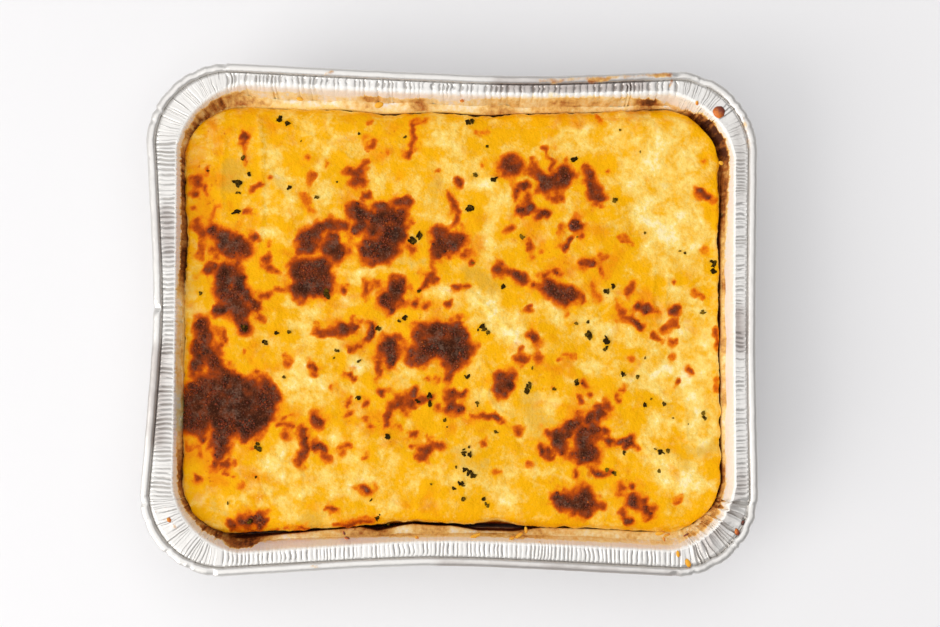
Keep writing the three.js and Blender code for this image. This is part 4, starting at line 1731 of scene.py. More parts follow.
SCORCHES = strokes(
    # back left
    (66, 5, 196, 181), (45, 3.5, 194, 193), (50, 3, 194, 207), (38, 2.6, 205, 184, 207, 192),
    (50, 1.8, 208, 171), (52, 4.2, 196, 224, 201, 232), (30, 4, 203, 240, 200, 255),
    (36, 2.4, 217, 205, 214, 213, 210, 219), (90, 6.5, 214, 233, 223, 236), (100, 9, 224, 246, 240, 247),
    (62, 4.5, 253, 237), (42, 3.2, 247, 213), (52, 2.2, 243, 133, 244, 140),
    (34, 1.9, 244, 140, 246, 165), (44, 2.8, 252, 191, 261, 186), (30, 2.4, 269, 177),
    (44, 1.7, 268, 245), (45, 1.8, 307, 158), (28, 3.6, 312, 174, 310, 182), (30, 2.6, 326, 164),
    (28, 4.6, 305, 195, 310, 210), (52, 3.2, 345, 171, 353, 174), (58, 7.5, 357, 182),
    (42, 2.8, 365, 163, 360, 170), (42, 2.4, 366, 197, 371, 196), (55, 2.8, 368, 146, 374, 142),
    (30, 3, 368, 122),
    # back left char
    (90, 6.6, 355, 209, 363, 217, 373, 221), (62, 4.2, 318, 226, 330, 223, 345, 227),
    (82, 8.2, 308, 240, 316, 235), (92, 7, 328, 248, 338, 252), (90, 5, 333, 238, 331, 246),
    (50, 4.6, 313, 248, 300, 251), (86, 11.5, 303, 272, 319, 271, 322, 285, 303, 287),
    (70, 3.8, 356, 232), (60, 4.2, 345, 288), (42, 2.2, 262, 297, 272, 290, 285, 290),
    (64, 3.8, 266, 258), (60, 2.7, 268, 266, 276, 271),
    # back middle
    (45, 2.8, 413, 122, 415, 138), (50, 2.4, 416, 140, 410, 148, 408, 156), (40, 1, 413, 123, 425, 121),
    (30, 2.8, 386, 152), (36, 2.6, 437, 170), (46, 2.8, 459, 180, 461, 184), (36, 2.6, 483, 165),
    (42, 2.2, 498, 168, 504, 169), (70, 8.6, 508, 165, 513, 167), (62, 4.4, 398, 203, 407, 202),
    (60, 4.4, 384, 207, 378, 209), (90, 8.6, 382, 218, 397, 218), (95, 8.8, 389, 232, 395, 237),
    (100, 9.4, 371, 249, 384, 250), (62, 3.8, 380, 260, 372, 264), (72, 4, 372, 232),
    (90, 5, 366, 222, 360, 226), (50, 4, 410, 222, 405, 228), (46, 4.4, 413, 251),
    (78, 5.6, 438, 231, 444, 236), (100, 9.2, 443, 245, 455, 242), (75, 5.6, 437, 253),
    (62, 3.8, 462, 242), (45, 2.6, 447, 192, 452, 198, 455, 205, 457, 215, 454, 222, 451, 228),
    (60, 5.2, 467, 254), (50, 1.8, 473, 263), (28, 3.6, 477, 134, 485, 132),
    # back right
    (40, 1.8, 532, 158, 533, 163), (46, 1.8, 545, 147, 550, 158, 553, 168), (62, 5.4, 535, 172, 544, 178),
    (98, 7.4, 548, 186, 557, 180, 565, 176), (74, 4.6, 524, 187), (50, 3.4, 516, 192, 515, 198),
    (76, 4.2, 530, 206, 527, 211, 520, 211), (64, 3.2, 536, 218, 546, 212), (45, 2.4, 528, 199),
    (60, 3.8, 573, 174), (62, 3.8, 588, 166, 590, 176), (76, 5.4, 590, 182, 596, 191, 599, 196),
    (46, 2.8, 586, 184), (50, 2.6, 593, 199, 603, 198), (36, 2.4, 602, 204),
    (56, 2.8, 555, 200, 562, 198), (50, 2.4, 505, 230, 511, 226), (62, 2.2, 529, 242, 531, 248),
    (40, 2, 542, 253), (40, 2, 533, 258), (74, 4.8, 575, 226), (42, 2.4, 560, 225, 558, 232),
    (46, 2.8, 583, 236), (55, 2.4, 568, 240, 563, 248), (36, 2.8, 622, 237, 631, 244),
    (34, 2.4, 601, 257, 609, 256), (30, 2.4, 610, 170), (58, 2.8, 699, 191, 709, 197),
    (38, 1.9, 704, 163), (26, 5, 705, 250), (26, 2.8, 597, 118, 602, 122), (36, 2.4, 567, 160),
    # left
    (66, 4.2, 207, 271, 211, 265), (94, 8, 225, 273, 224, 291), (94, 5.8, 240, 278, 241, 290),
    (60, 3.8, 232, 265), (100, 9.2, 235, 297, 238, 309), (80, 3.8, 224, 309, 217, 311),
    (98, 5.4, 240, 317, 245, 328), (78, 4.6, 248, 296, 254, 306), (62, 2.8, 254, 306, 261, 315),
    (50, 1.9, 226, 333, 225, 341), (38, 3.2, 219, 347), (36, 2.8, 222, 354),
    (100, 6.4, 203, 326, 202, 345, 198, 364), (90, 3.2, 208, 349, 213, 356),
    (100, 6.4, 212, 359, 218, 367, 223, 376, 227, 384), (40, 2.4, 231, 363), (46, 1.7, 256, 373),
    (52, 2.8, 262, 379, 268, 385), (62, 3.8, 271, 392, 279, 397), (28, 3.6, 285, 357, 288, 363),
    (28, 2.6, 245, 353), (30, 3, 218, 333),
    # left char
    (100, 11, 199, 388, 193, 402, 191, 418, 196, 422), (100, 13, 216, 393, 220, 410, 226, 423),
    (100, 13.5, 241, 396, 246, 410, 248, 422), (100, 10.5, 262, 396, 265, 406, 259, 418),
    (90, 6.2, 228, 380, 250, 388), (86, 5.6, 219, 436, 222, 443), (62, 5.2, 245, 437),
    (74, 5.4, 217, 447, 219, 454), (50, 4.2, 202, 440), (42, 3.2, 188, 450, 197, 448),
    (40, 2.4, 199, 455), (52, 4.4, 216, 463, 214, 470), (56, 2.4, 222, 466, 228, 464),
    (42, 2.4, 235, 465), (52, 2.4, 225, 473), (42, 2, 232, 477), (58, 2.6, 196, 476, 199, 480),
    (28, 3.2, 242, 485), (42, 2, 257, 477), (55, 1.9, 250, 450),
    # middle
    (52, 3.2, 316, 333, 330, 331, 342, 329), (72, 4.2, 342, 329, 351, 328), (40, 2.2, 319, 326),
    (45, 2.8, 365, 282, 365, 298), (42, 4.4, 374, 283), (40, 2, 354, 317, 352, 322), (40, 2, 361, 320),
    (76, 2.8, 371, 326, 368, 340), (46, 2.6, 350, 350, 360, 347), (62, 2.4, 313, 366, 315, 371),
    (56, 1.8, 347, 373, 353, 378), (36, 1.8, 331, 388), (90, 5.6, 397, 282, 397, 298),
    (92, 6, 387, 299, 391, 304), (64, 2.8, 390, 311), (86, 4.6, 400, 302), (52, 2.6, 407, 287),
    (70, 4.2, 426, 281, 430, 277), (50, 2.6, 436, 280), (42, 2.2, 432, 265, 435, 256),
    (52, 1.8, 425, 287, 419, 291), (64, 3.2, 416, 304), (50, 2.6, 427, 307), (44, 3.2, 449, 305),
    (44, 1.9, 452, 287, 460, 289, 468, 286), (62, 4, 498, 267), (72, 4.2, 511, 272, 518, 277, 523, 280),
    (62, 2.2, 533, 285), (62, 2.6, 541, 276, 548, 272, 557, 271),
    (100, 7.6, 548, 288, 558, 292, 570, 296), (50, 2.8, 583, 299), (42, 3, 530, 308),
    (58, 4, 531, 334, 536, 339), (36, 2.8, 521, 350, 518, 358), (55, 4.4, 523, 360), (42, 4.4, 538, 357),
    # middle char
    (92, 8.2, 392, 346, 388, 356), (56, 2.3, 376, 362, 378, 375), (90, 7.4, 421, 332, 440, 332),
    (100, 11.4, 430, 345, 447, 345), (86, 9, 455, 336, 462, 345), (92, 8.2, 452, 358, 462, 356),
    (72, 4.4, 455, 368), (76, 7, 417, 353, 418, 359), (62, 3.4, 458, 322), (46, 5, 403, 340, 401, 347),
    (50, 2.8, 452, 375, 448, 383), (38, 3.6, 437, 380), (52, 1.9, 427, 379), (62, 3.2, 383, 393),
    (46, 2.8, 415, 390), (90, 6.4, 501, 377, 506, 382, 503, 387), (72, 2.8, 512, 375),
    (50, 1.6, 553, 388),
    # front left
    (45, 1.6, 280, 425, 292, 427), (36, 3.6, 285, 435), (42, 1.4, 283, 418, 290, 414),
    (52, 4.4, 302, 430, 305, 440), (66, 3.8, 305, 446), (66, 3.6, 302, 453, 299, 462),
    (60, 3.6, 316, 446, 326, 450), (50, 4.2, 324, 457, 328, 460), (72, 5, 315, 420, 320, 423),
    (50, 2, 345, 405, 348, 401), (42, 2.6, 348, 414), (46, 2, 343, 450, 349, 446), (52, 2.8, 366, 404),
    (45, 2.6, 371, 427), (56, 2.4, 366, 457), (38, 2.8, 367, 420), (58, 2.4, 361, 489, 370, 491),
    (52, 2.8, 327, 508, 335, 511), (56, 4, 232, 525), (80, 6.6, 246, 522, 256, 520),
    (60, 2.8, 258, 530, 264, 520), (60, 3.6, 248, 528), (50, 1.8, 274, 532),
    (50, 1.8, 285, 528, 290, 530), (45, 1.4, 297, 528, 306, 529), (55, 2, 336, 526, 352, 523, 372, 524),
    (60, 4, 393, 405, 398, 401), (56, 3.6, 389, 410, 387, 423), (60, 4.6, 403, 402, 410, 405),
    (52, 3.2, 408, 396, 414, 394), (54, 2.6, 409, 435, 414, 434), (42, 2, 427, 438),
    (45, 3, 418, 400, 430, 397), (42, 3, 437, 408), (66, 4.4, 450, 395, 450, 406),
    (66, 4, 450, 408, 461, 409), (62, 3.2, 452, 393, 464, 394),
    (52, 2.5, 472, 417, 482, 418, 492, 415, 500, 420), (45, 1.6, 503, 424), (35, 5.4, 518, 430),
    (38, 3.6, 398, 428), (40, 2.6, 412, 447), (64, 4.8, 421, 456, 428, 451),
    (46, 3.6, 432, 448, 441, 446), (38, 2.4, 483, 444), (30, 3.4, 496, 472), (30, 2.6, 530, 464),
    # front right
    (56, 3, 548, 432), (80, 2.9, 541, 446, 543, 450), (72, 3.6, 546, 453, 551, 458),
    (95, 6.4, 556, 437, 560, 446), (72, 3, 562, 453), (80, 4, 566, 433, 571, 424),
    (97, 7.2, 583, 432, 584, 446), (96, 6, 578, 456, 589, 455), (84, 5.4, 590, 422, 594, 433),
    (54, 3.4, 577, 420, 580, 412), (62, 3.4, 593, 415, 590, 420), (56, 2.6, 598, 407, 608, 407),
    (68, 3.6, 601, 413, 604, 414), (56, 2.6, 598, 419, 601, 415), (68, 3, 605, 431),
    (62, 3.4, 608, 442, 620, 444, 632, 443), (56, 3.8, 631, 438), (50, 1.8, 636, 447),
    (62, 2.4, 580, 398), (54, 2.6, 590, 395), (60, 3, 617, 398), (40, 1.8, 622, 391),
    (50, 2.6, 585, 386, 582, 380), (50, 2, 576, 470, 577, 478), (60, 2.2, 592, 470, 598, 474),
    (52, 3, 601, 474, 610, 474), (50, 3, 632, 486), (30, 3.6, 620, 487), (32, 2.6, 619, 493),
    (98, 5.4, 558, 498, 561, 501), (90, 6, 570, 503, 578, 508), (96, 8.6, 583, 498, 585, 504),
    (62, 3.4, 588, 513), (56, 2.6, 583, 489), (38, 3, 597, 506, 604, 503), (72, 5.8, 633, 502, 640, 503),
    (66, 4, 646, 510, 648, 518), (66, 4, 629, 521), (42, 2.2, 621, 512, 625, 516),
    (26, 3.2, 672, 503, 681, 497), (25, 3.6, 655, 507),
    # right
    (62, 2.6, 583, 261, 592, 264), (44, 1.9, 600, 269, 603, 276), (38, 2.6, 592, 283, 595, 292, 600, 298),
    (44, 2.9, 628, 294, 634, 284), (74, 4, 639, 306, 645, 309), (44, 2.2, 650, 309, 656, 312),
    (38, 2.6, 620, 305, 622, 312), (46, 2.2, 622, 317, 632, 318, 637, 323), (64, 2.6, 639, 323, 643, 328),
    (66, 4, 675, 310), (42, 2.6, 674, 282), (44, 3.1, 654, 334, 660, 341),
    (38, 2.6, 664, 330, 668, 326, 675, 322), (50, 3, 673, 343), (44, 3, 632, 359), (38, 2.6, 672, 357),
    (50, 1.9, 690, 370), (34, 3, 678, 383), (30, 3, 693, 293, 702, 298), (42, 1.8, 567, 313),
    (30, 2.6, 564, 356, 574, 357), (35, 2.2, 558, 361), (38, 2.6, 716, 331, 719, 343),
    (50, 2.6, 722, 345), (30, 3, 717, 379, 718, 391),
)

# Pale cheese, and in places painted highlight where ridges and broad slopes catch the light.
PALE_AND_HIGHLIGHT_PATCHES = strokes(
    (95, 5, 296, 130, 312, 136), (50, 12, 270, 152, 274, 172), (80, 3.5, 258, 155),
    (80, 5, 264, 168, 270, 168), (60, 3.5, 240, 132), (50, 13, 330, 192, 336, 214),
    (40, 11, 345, 150, 340, 168), (50, 7, 265, 200, 268, 225), (60, 4, 279, 214), (45, 9, 285, 200),
    (42, 13, 322, 135, 342, 150), (55, 13, 446, 135, 455, 165), (100, 5, 473, 181, 484, 184, 493, 187),
    (80, 7, 504, 190, 498, 199), (50, 9, 385, 180, 390, 192), (45, 12, 430, 206, 440, 214),
    (80, 3, 465, 131, 468, 134), (65, 8, 489, 236, 485, 252), (80, 8, 676, 134, 682, 149),
    (85, 5, 668, 208), (65, 6, 565, 205, 571, 196), (75, 5, 330, 269, 352, 276),
    (95, 3.6, 362, 272, 384, 268), (90, 4.4, 345, 304), (45, 9, 300, 335, 320, 340),
    (60, 11, 310, 360, 300, 374), (90, 6.5, 318, 382, 326, 378), (90, 6.5, 346, 387, 351, 391),
    (85, 5, 358, 370, 364, 374), (75, 6, 288, 384, 298, 392), (50, 11, 410, 265),
    (100, 8, 432, 292, 470, 296, 488, 306), (100, 9, 488, 306, 500, 322, 512, 336),
    (75, 11, 520, 340, 544, 346), (70, 11, 560, 312), (80, 6, 415, 375, 413, 368),
    (75, 5, 476, 386, 480, 372), (50, 9, 530, 396, 548, 402), (100, 9, 314, 395, 320, 400),
    (100, 6.5, 274, 458, 280, 458), (80, 3.8, 266, 462), (80, 7, 304, 472, 302, 490),
    (85, 4.5, 247, 477, 248, 482), (60, 3.5, 256, 498), (90, 3.5, 241, 504), (60, 8, 295, 500, 291, 515),
    (55, 7, 334, 440), (45, 14, 408, 460, 430, 475), (65, 6.5, 446, 480), (100, 4, 499, 410, 510, 418),
    (95, 3.6, 524, 420), (80, 5, 480, 401), (65, 4, 541, 470), (100, 11, 689, 428, 702, 442),
    (90, 6.5, 689, 414), (100, 3.5, 646, 448, 656, 460, 664, 466), (95, 6.5, 680, 467, 692, 469),
    (85, 13, 672, 482, 694, 486), (70, 12, 660, 424, 670, 410), (90, 10, 644, 376, 668, 370),
    (62, 40, 662, 165, 668, 235), (60, 34, 690, 330, 694, 400), (42, 26, 600, 345, 640, 350),
    (35, 26, 620, 130, 560, 128), (40, 22, 470, 470, 520, 500), (42, 20, 340, 480, 380, 470),
    (35, 14, 190, 300, 188, 350),
)

GLASSY_PATCHES = strokes(
    (95, 12, 230, 166, 224, 190), (50, 10, 272, 180, 286, 192), (75, 8, 437, 184, 434, 198),
    (90, 10, 472, 270, 486, 282), (60, 9, 402, 262, 424, 262), (80, 10, 320, 514, 308, 526),
    (60, 7, 212, 504, 232, 514), (65, 14, 528, 402, 546, 428), (65, 11, 458, 456, 482, 466),
    (75, 8, 682, 456, 712, 450), (60, 9, 610, 230), (50, 6, 654, 192, 664, 188),
    (60, 8, 195, 275, 198, 296), (50, 8, 408, 160), (45, 9, 690, 210, 696, 200),
)

WARM_PATCHES = strokes(
    (60, 16, 200, 140, 203, 200, 206, 250), (80, 8, 214, 120, 222, 131), (55, 12, 250, 118, 274, 132),
    (55, 10, 238, 222, 252, 216), (60, 12, 372, 150, 388, 138), (50, 10, 360, 200, 350, 206),
    (60, 9, 470, 232, 474, 250), (65, 15, 190, 442, 216, 476), (50, 11, 242, 462, 260, 500, 268, 520),
    (60, 9, 282, 400, 296, 414), (60, 14, 378, 424, 402, 440), (60, 10, 458, 428, 472, 424),
    (60, 14, 548, 262, 572, 260), (50, 12, 612, 252, 600, 290), (55, 17, 640, 300, 664, 322),
    (45, 14, 584, 208, 600, 226), (60, 9, 420, 320, 450, 316), (50, 14, 575, 410, 606, 440),
    (60, 11, 350, 340, 376, 346), (55, 12, 340, 410, 370, 420), (50, 12, 616, 478, 640, 500),
    (45, 16, 640, 110, 560, 116), (50, 14, 545, 380, 566, 360), (45, 12, 254, 350, 262, 360),
    (60, 8, 300, 246, 292, 264), (50, 9, 524, 225, 548, 232), (60, 10, 330, 300, 345, 312),
    (55, 10, 418, 512, 430, 506), (50, 8, 196, 310, 200, 318),
)


# Lines where a sheet of pasta ends or the cheese has set: as strokes, by height above the crust.
RIDGES = strokes(
    (45, 2, 258, 118, 262, 160, 262, 215, 258, 245), (35, 1.8, 225, 140, 221, 180, 222, 220),
    (-35, 1, 336, 276, 372, 276, 432, 272), (40, 1.3, 336, 269, 372, 270, 430, 264),
    (40, 1.2, 484, 362, 492, 378, 486, 396, 496, 410, 512, 418), (-30, 0.8, 480, 366, 486, 380, 481, 396),
    (35, 1.2, 430, 290, 470, 292, 500, 320, 522, 342), (30, 1.2, 669, 268, 664, 312),
    (35, 1.4, 292, 128, 318, 138, 352, 160), (30, 1.3, 684, 402, 686, 440, 712, 446),
    (35, 1, 640, 442, 652, 456, 664, 470), (-30, 1, 380, 360, 396, 374), (35, 1, 378, 366, 392, 378),
    (30, 1.4, 270, 455, 300, 470, 302, 500), (30, 1.5, 655, 260, 652, 300, 658, 330),
    (-25, 1, 205, 505, 232, 512, 262, 505),
)


@dataclass
class Lasagne:
    """The baked block of pasta, sauce and cheese, closed all round."""

    camera: OverheadCamera
    finish: BakedCheeseFinish
    seed: int = 11
    cell: float = 0.88                                                 # spacing of the grid lines
    edge_steps: tuple[float, ...] = (0.0, 0.25, 0.6, 1.1, 1.7, 2.4)    # the first ones in from an edge
    side_levels: tuple[float, ...] = (30.0, BASE_RADIUS + 2.0)         # of the lines round its sides
    lumps: tuple[tuple[float, float], ...] = ((11.0, 0.5), (4.2, 0.32))      # noise cell and height
    char_rise: float = 0.35
    char_lumps: float = 0.35
    edge_waver: float = 0.95
    side_browning: float = 0.62
    points: Array = field(default_factory=lambda: np.zeros((0, 3)))
    heat: Array = field(default_factory=lambda: np.zeros(0))

    def fractions(self, span: float) -> Array:
        """Lays grid lines across the crust, closer together at its edges.

        Args:
            span: The crust's span that way.

        Returns:
            The lines as shares of the span.
        """
        near = np.array(self.edge_steps) / span
        inner = round(span * (1.0 - 2.0 * near[-1]) / self.cell)
        middle = np.linspace(near[-1], 1.0 - near[-1], inner + 1)[1:-1]
        return np.concatenate([near, middle, (1.0 - near)[::-1]])

    @staticmethod
    def edge_places(corner: int, shares: Array, corner_share: float) -> Array:
        """Places on the ring from the middle of one corner to the middle of the next.

        Args:
            corner: The first corner's number.
            shares: How far along each place is, from 0 to 1.
            corner_share: Share of the way that each corner's arc takes.

        Returns:
            The places.
        """
        start = 2 * corner + 0.5
        near = start + 0.5 * shares / corner_share
        far = start + 2.0 - 0.5 * (1.0 - shares) / corner_share
        straight = start + 0.5 + (shares - corner_share) / (1.0 - 2.0 * corner_share)
        return np.where(shares < corner_share, near, np.where(shares > 1.0 - corner_share, far, straight))

    def border(self, across: Array, deep: Array) -> dict[Side, Array]:
        """Finds where the grid's four edges lie on the ring.

        Args:
            across: Column lines as shares.
            deep: Row lines as shares.

        Returns:
            For each side, the places of its lines.
        """
        half_arc = CRUST.radius * math.pi / 4
        span_x, span_y = self.spans()
        long_share = half_arc / (span_x - 2 * CRUST.radius + 2 * half_arc)
        short_share = half_arc / (span_y - 2 * CRUST.radius + 2 * half_arc)
        return {
            Side.FRONT: self.edge_places(3, across, long_share),
            Side.RIGHT: self.edge_places(0, deep, short_share),
            Side.BACK: self.edge_places(1, 1.0 - across, long_share),
            Side.LEFT: self.edge_places(2, 1.0 - deep, short_share),
        }

    @staticmethod
    def spans() -> tuple[float, float]:
        """The crust's full length and width."""
        length = CRUST.reach[0][0] - CRUST.reach[2][0]
        width = CRUST.reach[1][1] - CRUST.reach[0][1]
        return length, width

    def plan(self, across: Array, deep: Array) -> tuple[Array, dict[Side, Array]]:
        """Lays the grid flat inside the crust's outline.

        Args:
            across: Column lines as shares.
            deep: Row lines as shares.

        Returns:
            An (x, y) for each row and column line, and the ring places of the edges.
        """
        places = self.border(across, deep)
        edges = {side: CRUST.points(at) for side, at in places.items()}
        u, v = across[None, :, None], deep[:, None, None]
        front, back = edges[Side.FRONT][None], edges[Side.BACK][None]
        left, right = edges[Side.LEFT][:, None], edges[Side.RIGHT][:, None]
        ruled = front * (1 - v) + back * v + left * (1 - u) + right * u
        low = front[:, :1] * (1 - u) + front[:, -1:] * u
        high = back[:, :1] * (1 - u) + back[:, -1:] * u
        return ruled - low * (1 - v) - high * v, places

    def height(self, points: Array, from_short: Array, from_long: Array) -> Array:
        """The crust's level before its fine relief, the same as its node's.

        Args:
            points: Places, one (x, y) row each.
            from_short: Their distances from the nearer short edge.
            from_long: Their distances from the nearer long edge.

        Returns:
            One level for each place.
        """
        x, y = points.T
        swell = 0.7 * np.sin(x / 34 + 0.6) * np.cos(y / 29 - 0.4)
        sheets = 0.45 * np.sin((x + 1.6 * y) / 21 + 1.1)
        ripple = 0.3 * np.cos((1.7 * x - y) / 15 + 0.5)

        def fall(distance: Array, reach: float) -> Array:
            """1 at an edge, 0 from its reach inwards, with a round shoulder."""
            away = 1.0 - np.minimum(distance / reach, 1.0)
            return 1.0 - np.sqrt(1.0 - away * away)

        drop = np.hypot(
            SHORT_EDGE_DROP * fall(from_short, SHORT_EDGE_REACH),
            LONG_EDGE_DROP * fall(from_long, LONG_EDGE_REACH),
        )
        calm = smooth_step(np.minimum(from_short, from_long), 0.0, 12.0)
        return CRUST_TOP + (swell + sheets + ripple) * calm - drop

    def relief(self, points: Array, heat: Array, noise: Noise) -> Array:
        """Adds up curds, pasta ridges and the blistered skin of burnt patches.

        Args:
            points: Places, one (x, y) row each.
            heat: How burnt each one is.
            noise: Source of unevenness.

        Returns:
            The height to add at each place.
        """
        x, y = points.T
        total = sum(height * noise.fractal(x, y, cell, 2) for cell, height in self.lumps)
        unit = self.camera.unit_at(CRUST_TOP)
        for ridge in RIDGES:
            away = distance_to_path(points, self.camera.cast(ridge.path, CRUST_TOP))
            total = total + 1.5 * ridge.strength * np.exp(-(away / (ridge.half_width * unit * 1.4)) ** 2)
        charred = smooth_step(heat, 0.35, 0.8)
        rough = np.abs(noise.fractal(x + 900.0, y, 2.4, 2))
        return total + charred * (self.char_rise + self.char_lumps * rough)

    def build(self) -> bpy.types.Object:
        """Builds the block and gives it its finish.

        Returns:
            The lasagne, riding on the body and standing for its node.
        """
        span_x, span_y = self.spans()
        across, deep = self.fractions(span_x), self.fractions(span_y)
        block, column, row = add_sheet("lasagne_block", len(across) - 1, len(deep) - 1)
        plan, places = self.plan(across, deep)
        flat = plan[row, column]
        u, v = across[column], deep[row]
        from_short = np.minimum(u, 1.0 - u) * span_x
        from_long = np.minimum(v, 1.0 - v) * span_y
        from_edge = np.minimum(from_short, from_long)
        noise = Noise(self.seed)

        waver = self.edge_waver * np.maximum(1.0 + 1.4 * noise.fractal(flat[:, 0], flat[:, 1], 6.0, 4), 0.1)
        inward = -flat / np.linalg.norm(flat, axis=1)[:, None]
        flat = flat + inward * (waver * (1.0 - smooth_step(from_edge, 0.0, 6.0)))[:, None]
        fields = self.fields(flat, from_edge, noise)
        level = self.height(flat, from_short, from_long)
        level += self.relief(flat, fields["browning"], noise) * smooth_step(from_edge, 0.0, 3.0)
        points = np.column_stack([flat, level])
        write_points(block.data, points)
        for name, values in fields.items():
            write_field(block.data, name, values)
        self.points, self.heat = points, fields["browning"]

        ring_place = np.zeros(len(points))
        for side, edge, line in (
            (Side.FRONT, row == 0, column), (Side.RIGHT, column == column.max(), row),
            (Side.BACK, row == row.max(), column), (Side.LEFT, column == 0, row),
        ):
            ring_place[edge] = places[side][line[edge]]
        self.add_sides(block, ring_place)
        overwrite_field(block.data, "browning", len(points), self.side_browning)
        turn_outwards(block)
        shade(block)
        block.data.materials.append(self.finish.build())
        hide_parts("lasagne")
        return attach(block, "root")

    def fields(self, flat: Array, from_edge: Array, noise: Noise) -> dict[str, Array]:
        """Works out how brown, pale, glassy and warm it is, the paleness including painted highlight.

        Args:
            flat: Places, one (x, y) row each.
            from_edge: Their distances from the nearest edge.
            noise: Source of ragged edges.

        Returns:
            The fields that the finish reads.
        """
        x, y = flat.T

        def wander(size: float, cell: float) -> Array:
            """Offsets that make a field's edges ragged."""
            return size * np.column_stack([
                noise.fractal(x, y, cell, 3), noise.fractal(x + 500.0, y, cell, 3),
            ])

        sharp = PatchField(SCORCHES, self.camera, CRUST_TOP, softness=4.0, sharpest=1.6)
        soft = PatchField(SCORCHES, self.camera, CRUST_TOP, softness=6.0)
        core = sharp.at(flat + wander(2.3, 4.0))
        halo = soft.at(flat + wander(5.0, 7.0))
        core *= 0.9 + 0.6 * noise.fractal(x - 300.0, y, 4.2, 3)
        toast = 0.5 * halo * np.clip(1.0 + 1.2 * noise.fractal(x, y - 300.0, 4.5, 3), 0.0, 2.2)
        heat = np.clip(core + toast * (1.0 - core), 0.0, 1.0)
        broad = {
            name: PatchField(patches, self.camera, CRUST_TOP, fade).at(flat + wander(6.0, 8.0))
            for name, patches, fade in (
                ("cream", PALE_AND_HIGHLIGHT_PATCHES, 8.0), ("olive", GLASSY_PATCHES, 5.0), ("amber", WARM_PATCHES, 7.0),
            )
        }
        broad["amber"] = np.clip(broad["amber"] + 0.6 * halo, 0.0, 1.0)
        # Painted highlight along the crust's edge, added to its paleness.
        rim_light = 1.0 - smooth_step(from_edge, 0.3, 2.6)
        broad["cream"] = np.clip(broad["cream"] * (1.0 - 0.5 * halo) + 0.5 * rim_light, 0.0, 1.0)
        return {"browning": heat, **broad}

    def add_sides(self, block: bpy.types.Object, ring_place: Array) -> None:
        """Carries the crust's edge down the filling to its foot, and closes it underneath.

        Args:
            block: The piece, which is the crust alone so far.
            ring_place: Place on the ring of each of the crust's edge vertices.
        """
        rows = [
            (BASE.towards(BEND, level / FLANGE_TOP).inset(FILLING_GAP), level)
            for level in self.side_levels
        ]
        rows.append((BASE.inset(BASE_RADIUS + 1.0), FILLING_BOTTOM))
        mesh = block.data
        edges = edge_ends(mesh)[boundary_edges(mesh)]
        order = np.unique(edges)
        place_of = ring_place[order]
        make_active(block)
        select_edges(mesh, boundary_edges(mesh))
        current = read_points(mesh)[order]
        for ring, level in rows:
            with editing():
                bpy.ops.mesh.extrude_edges_move()
            points = read_points(mesh)
            new = np.arange(len(points) - len(order), len(points))
            match = self.matching(points[new], current)
            target = ring.points(place_of[match])
            points[new] = np.column_stack([target, np.full(len(new), level)])
            write_points(mesh, points)
            current, place_of = points[new], place_of[match]
        close_opening()

    @staticmethod
    def matching(copies: Array, originals: Array) -> Array:
        """Matches copied points with the ones they were copied from.

        Args:
            copies: The copies.
            originals: The originals.

        Returns:
            For each copy, the number of the original at the same place.
        """
        keys = {tuple(np.rint(point * 1000).astype(int)): i for i, point in enumerate(originals)}
        found = [keys.get(tuple(np.rint(point * 1000).astype(int)), -1) for point in copies]
        for i, number in enumerate(found):
            if number < 0:
                found[i] = int(np.argmin(np.linalg.norm(originals - copies[i], axis=1)))
        return np.array(found)

    def surface_at(self, spots: Array) -> Array:
        """Heights of the crust at (x, y) rows."""
        return np.array([
            self.points[np.argmin(np.sum((self.points[:, :2] - spot) ** 2, axis=1)), 2] for spot in spots
        ])


# --- Things on the crust ---

def blob_template(subdivisions: int) -> bpy.types.Object:
    """A ball of unit radius, in metres, to be reshaped and copied."""
    deselect_all()
    bpy.ops.mesh.primitive_ico_sphere_add(subdivisions=subdivisions, radius=1.0)
    return bpy.context.active_object


@dataclass
class CharBlisters:
    """Small glossy blisters that stand up from the burnt patches."""

    crust: Lasagne
    finish: BurntSauceFinish
    seed: int = 23
    count: int = 2400
    radius: tuple[float, float] = (0.26, 0.8)
    flatness: float = 0.5

    def build(self) -> bpy.types.Object:
        """Scatters the blisters where the crust is charred.

        Returns:
            The blisters, riding on the body.
        """
        random = np.random.default_rng(self.seed)
        noise = Noise(self.seed)
        crust = self.crust
        chance = smooth_step(crust.heat, 0.5, 0.85)
        clump = noise.fractal(crust.points[:, 0], crust.points[:, 1], 7.0, 2)
        chance = chance * smooth_step(clump, -0.35, 0.3)
        chosen = random.choice(len(chance), self.count, p=chance / chance.sum())
        template = blob_template(1)
        ball = read_points(template.data) * MM
        copies = []
        for number in chosen:
            size = self.radius[0] + (self.radius[1] - self.radius[0]) * random.random() ** 2
            stretch = np.array([1.0 + 0.5 * random.random(), 1.0, self.flatness])
            turned = (ball * size * stretch) @ random_turn(random, tilt=12.0).T
            spot = crust.points[number] + np.append(random.uniform(-0.4, 0.4, 2), 0.1 * size)
            tone = 0.35 + 0.4 * crust.heat[number] + random.uniform(-0.3, 0.25)
            copies.append((turned + spot, tone))
        blisters = spread_copies("char_blisters", template, copies)
        shade(blisters)
        blisters.data.materials.append(self.finish.build())
        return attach(blisters, "root")


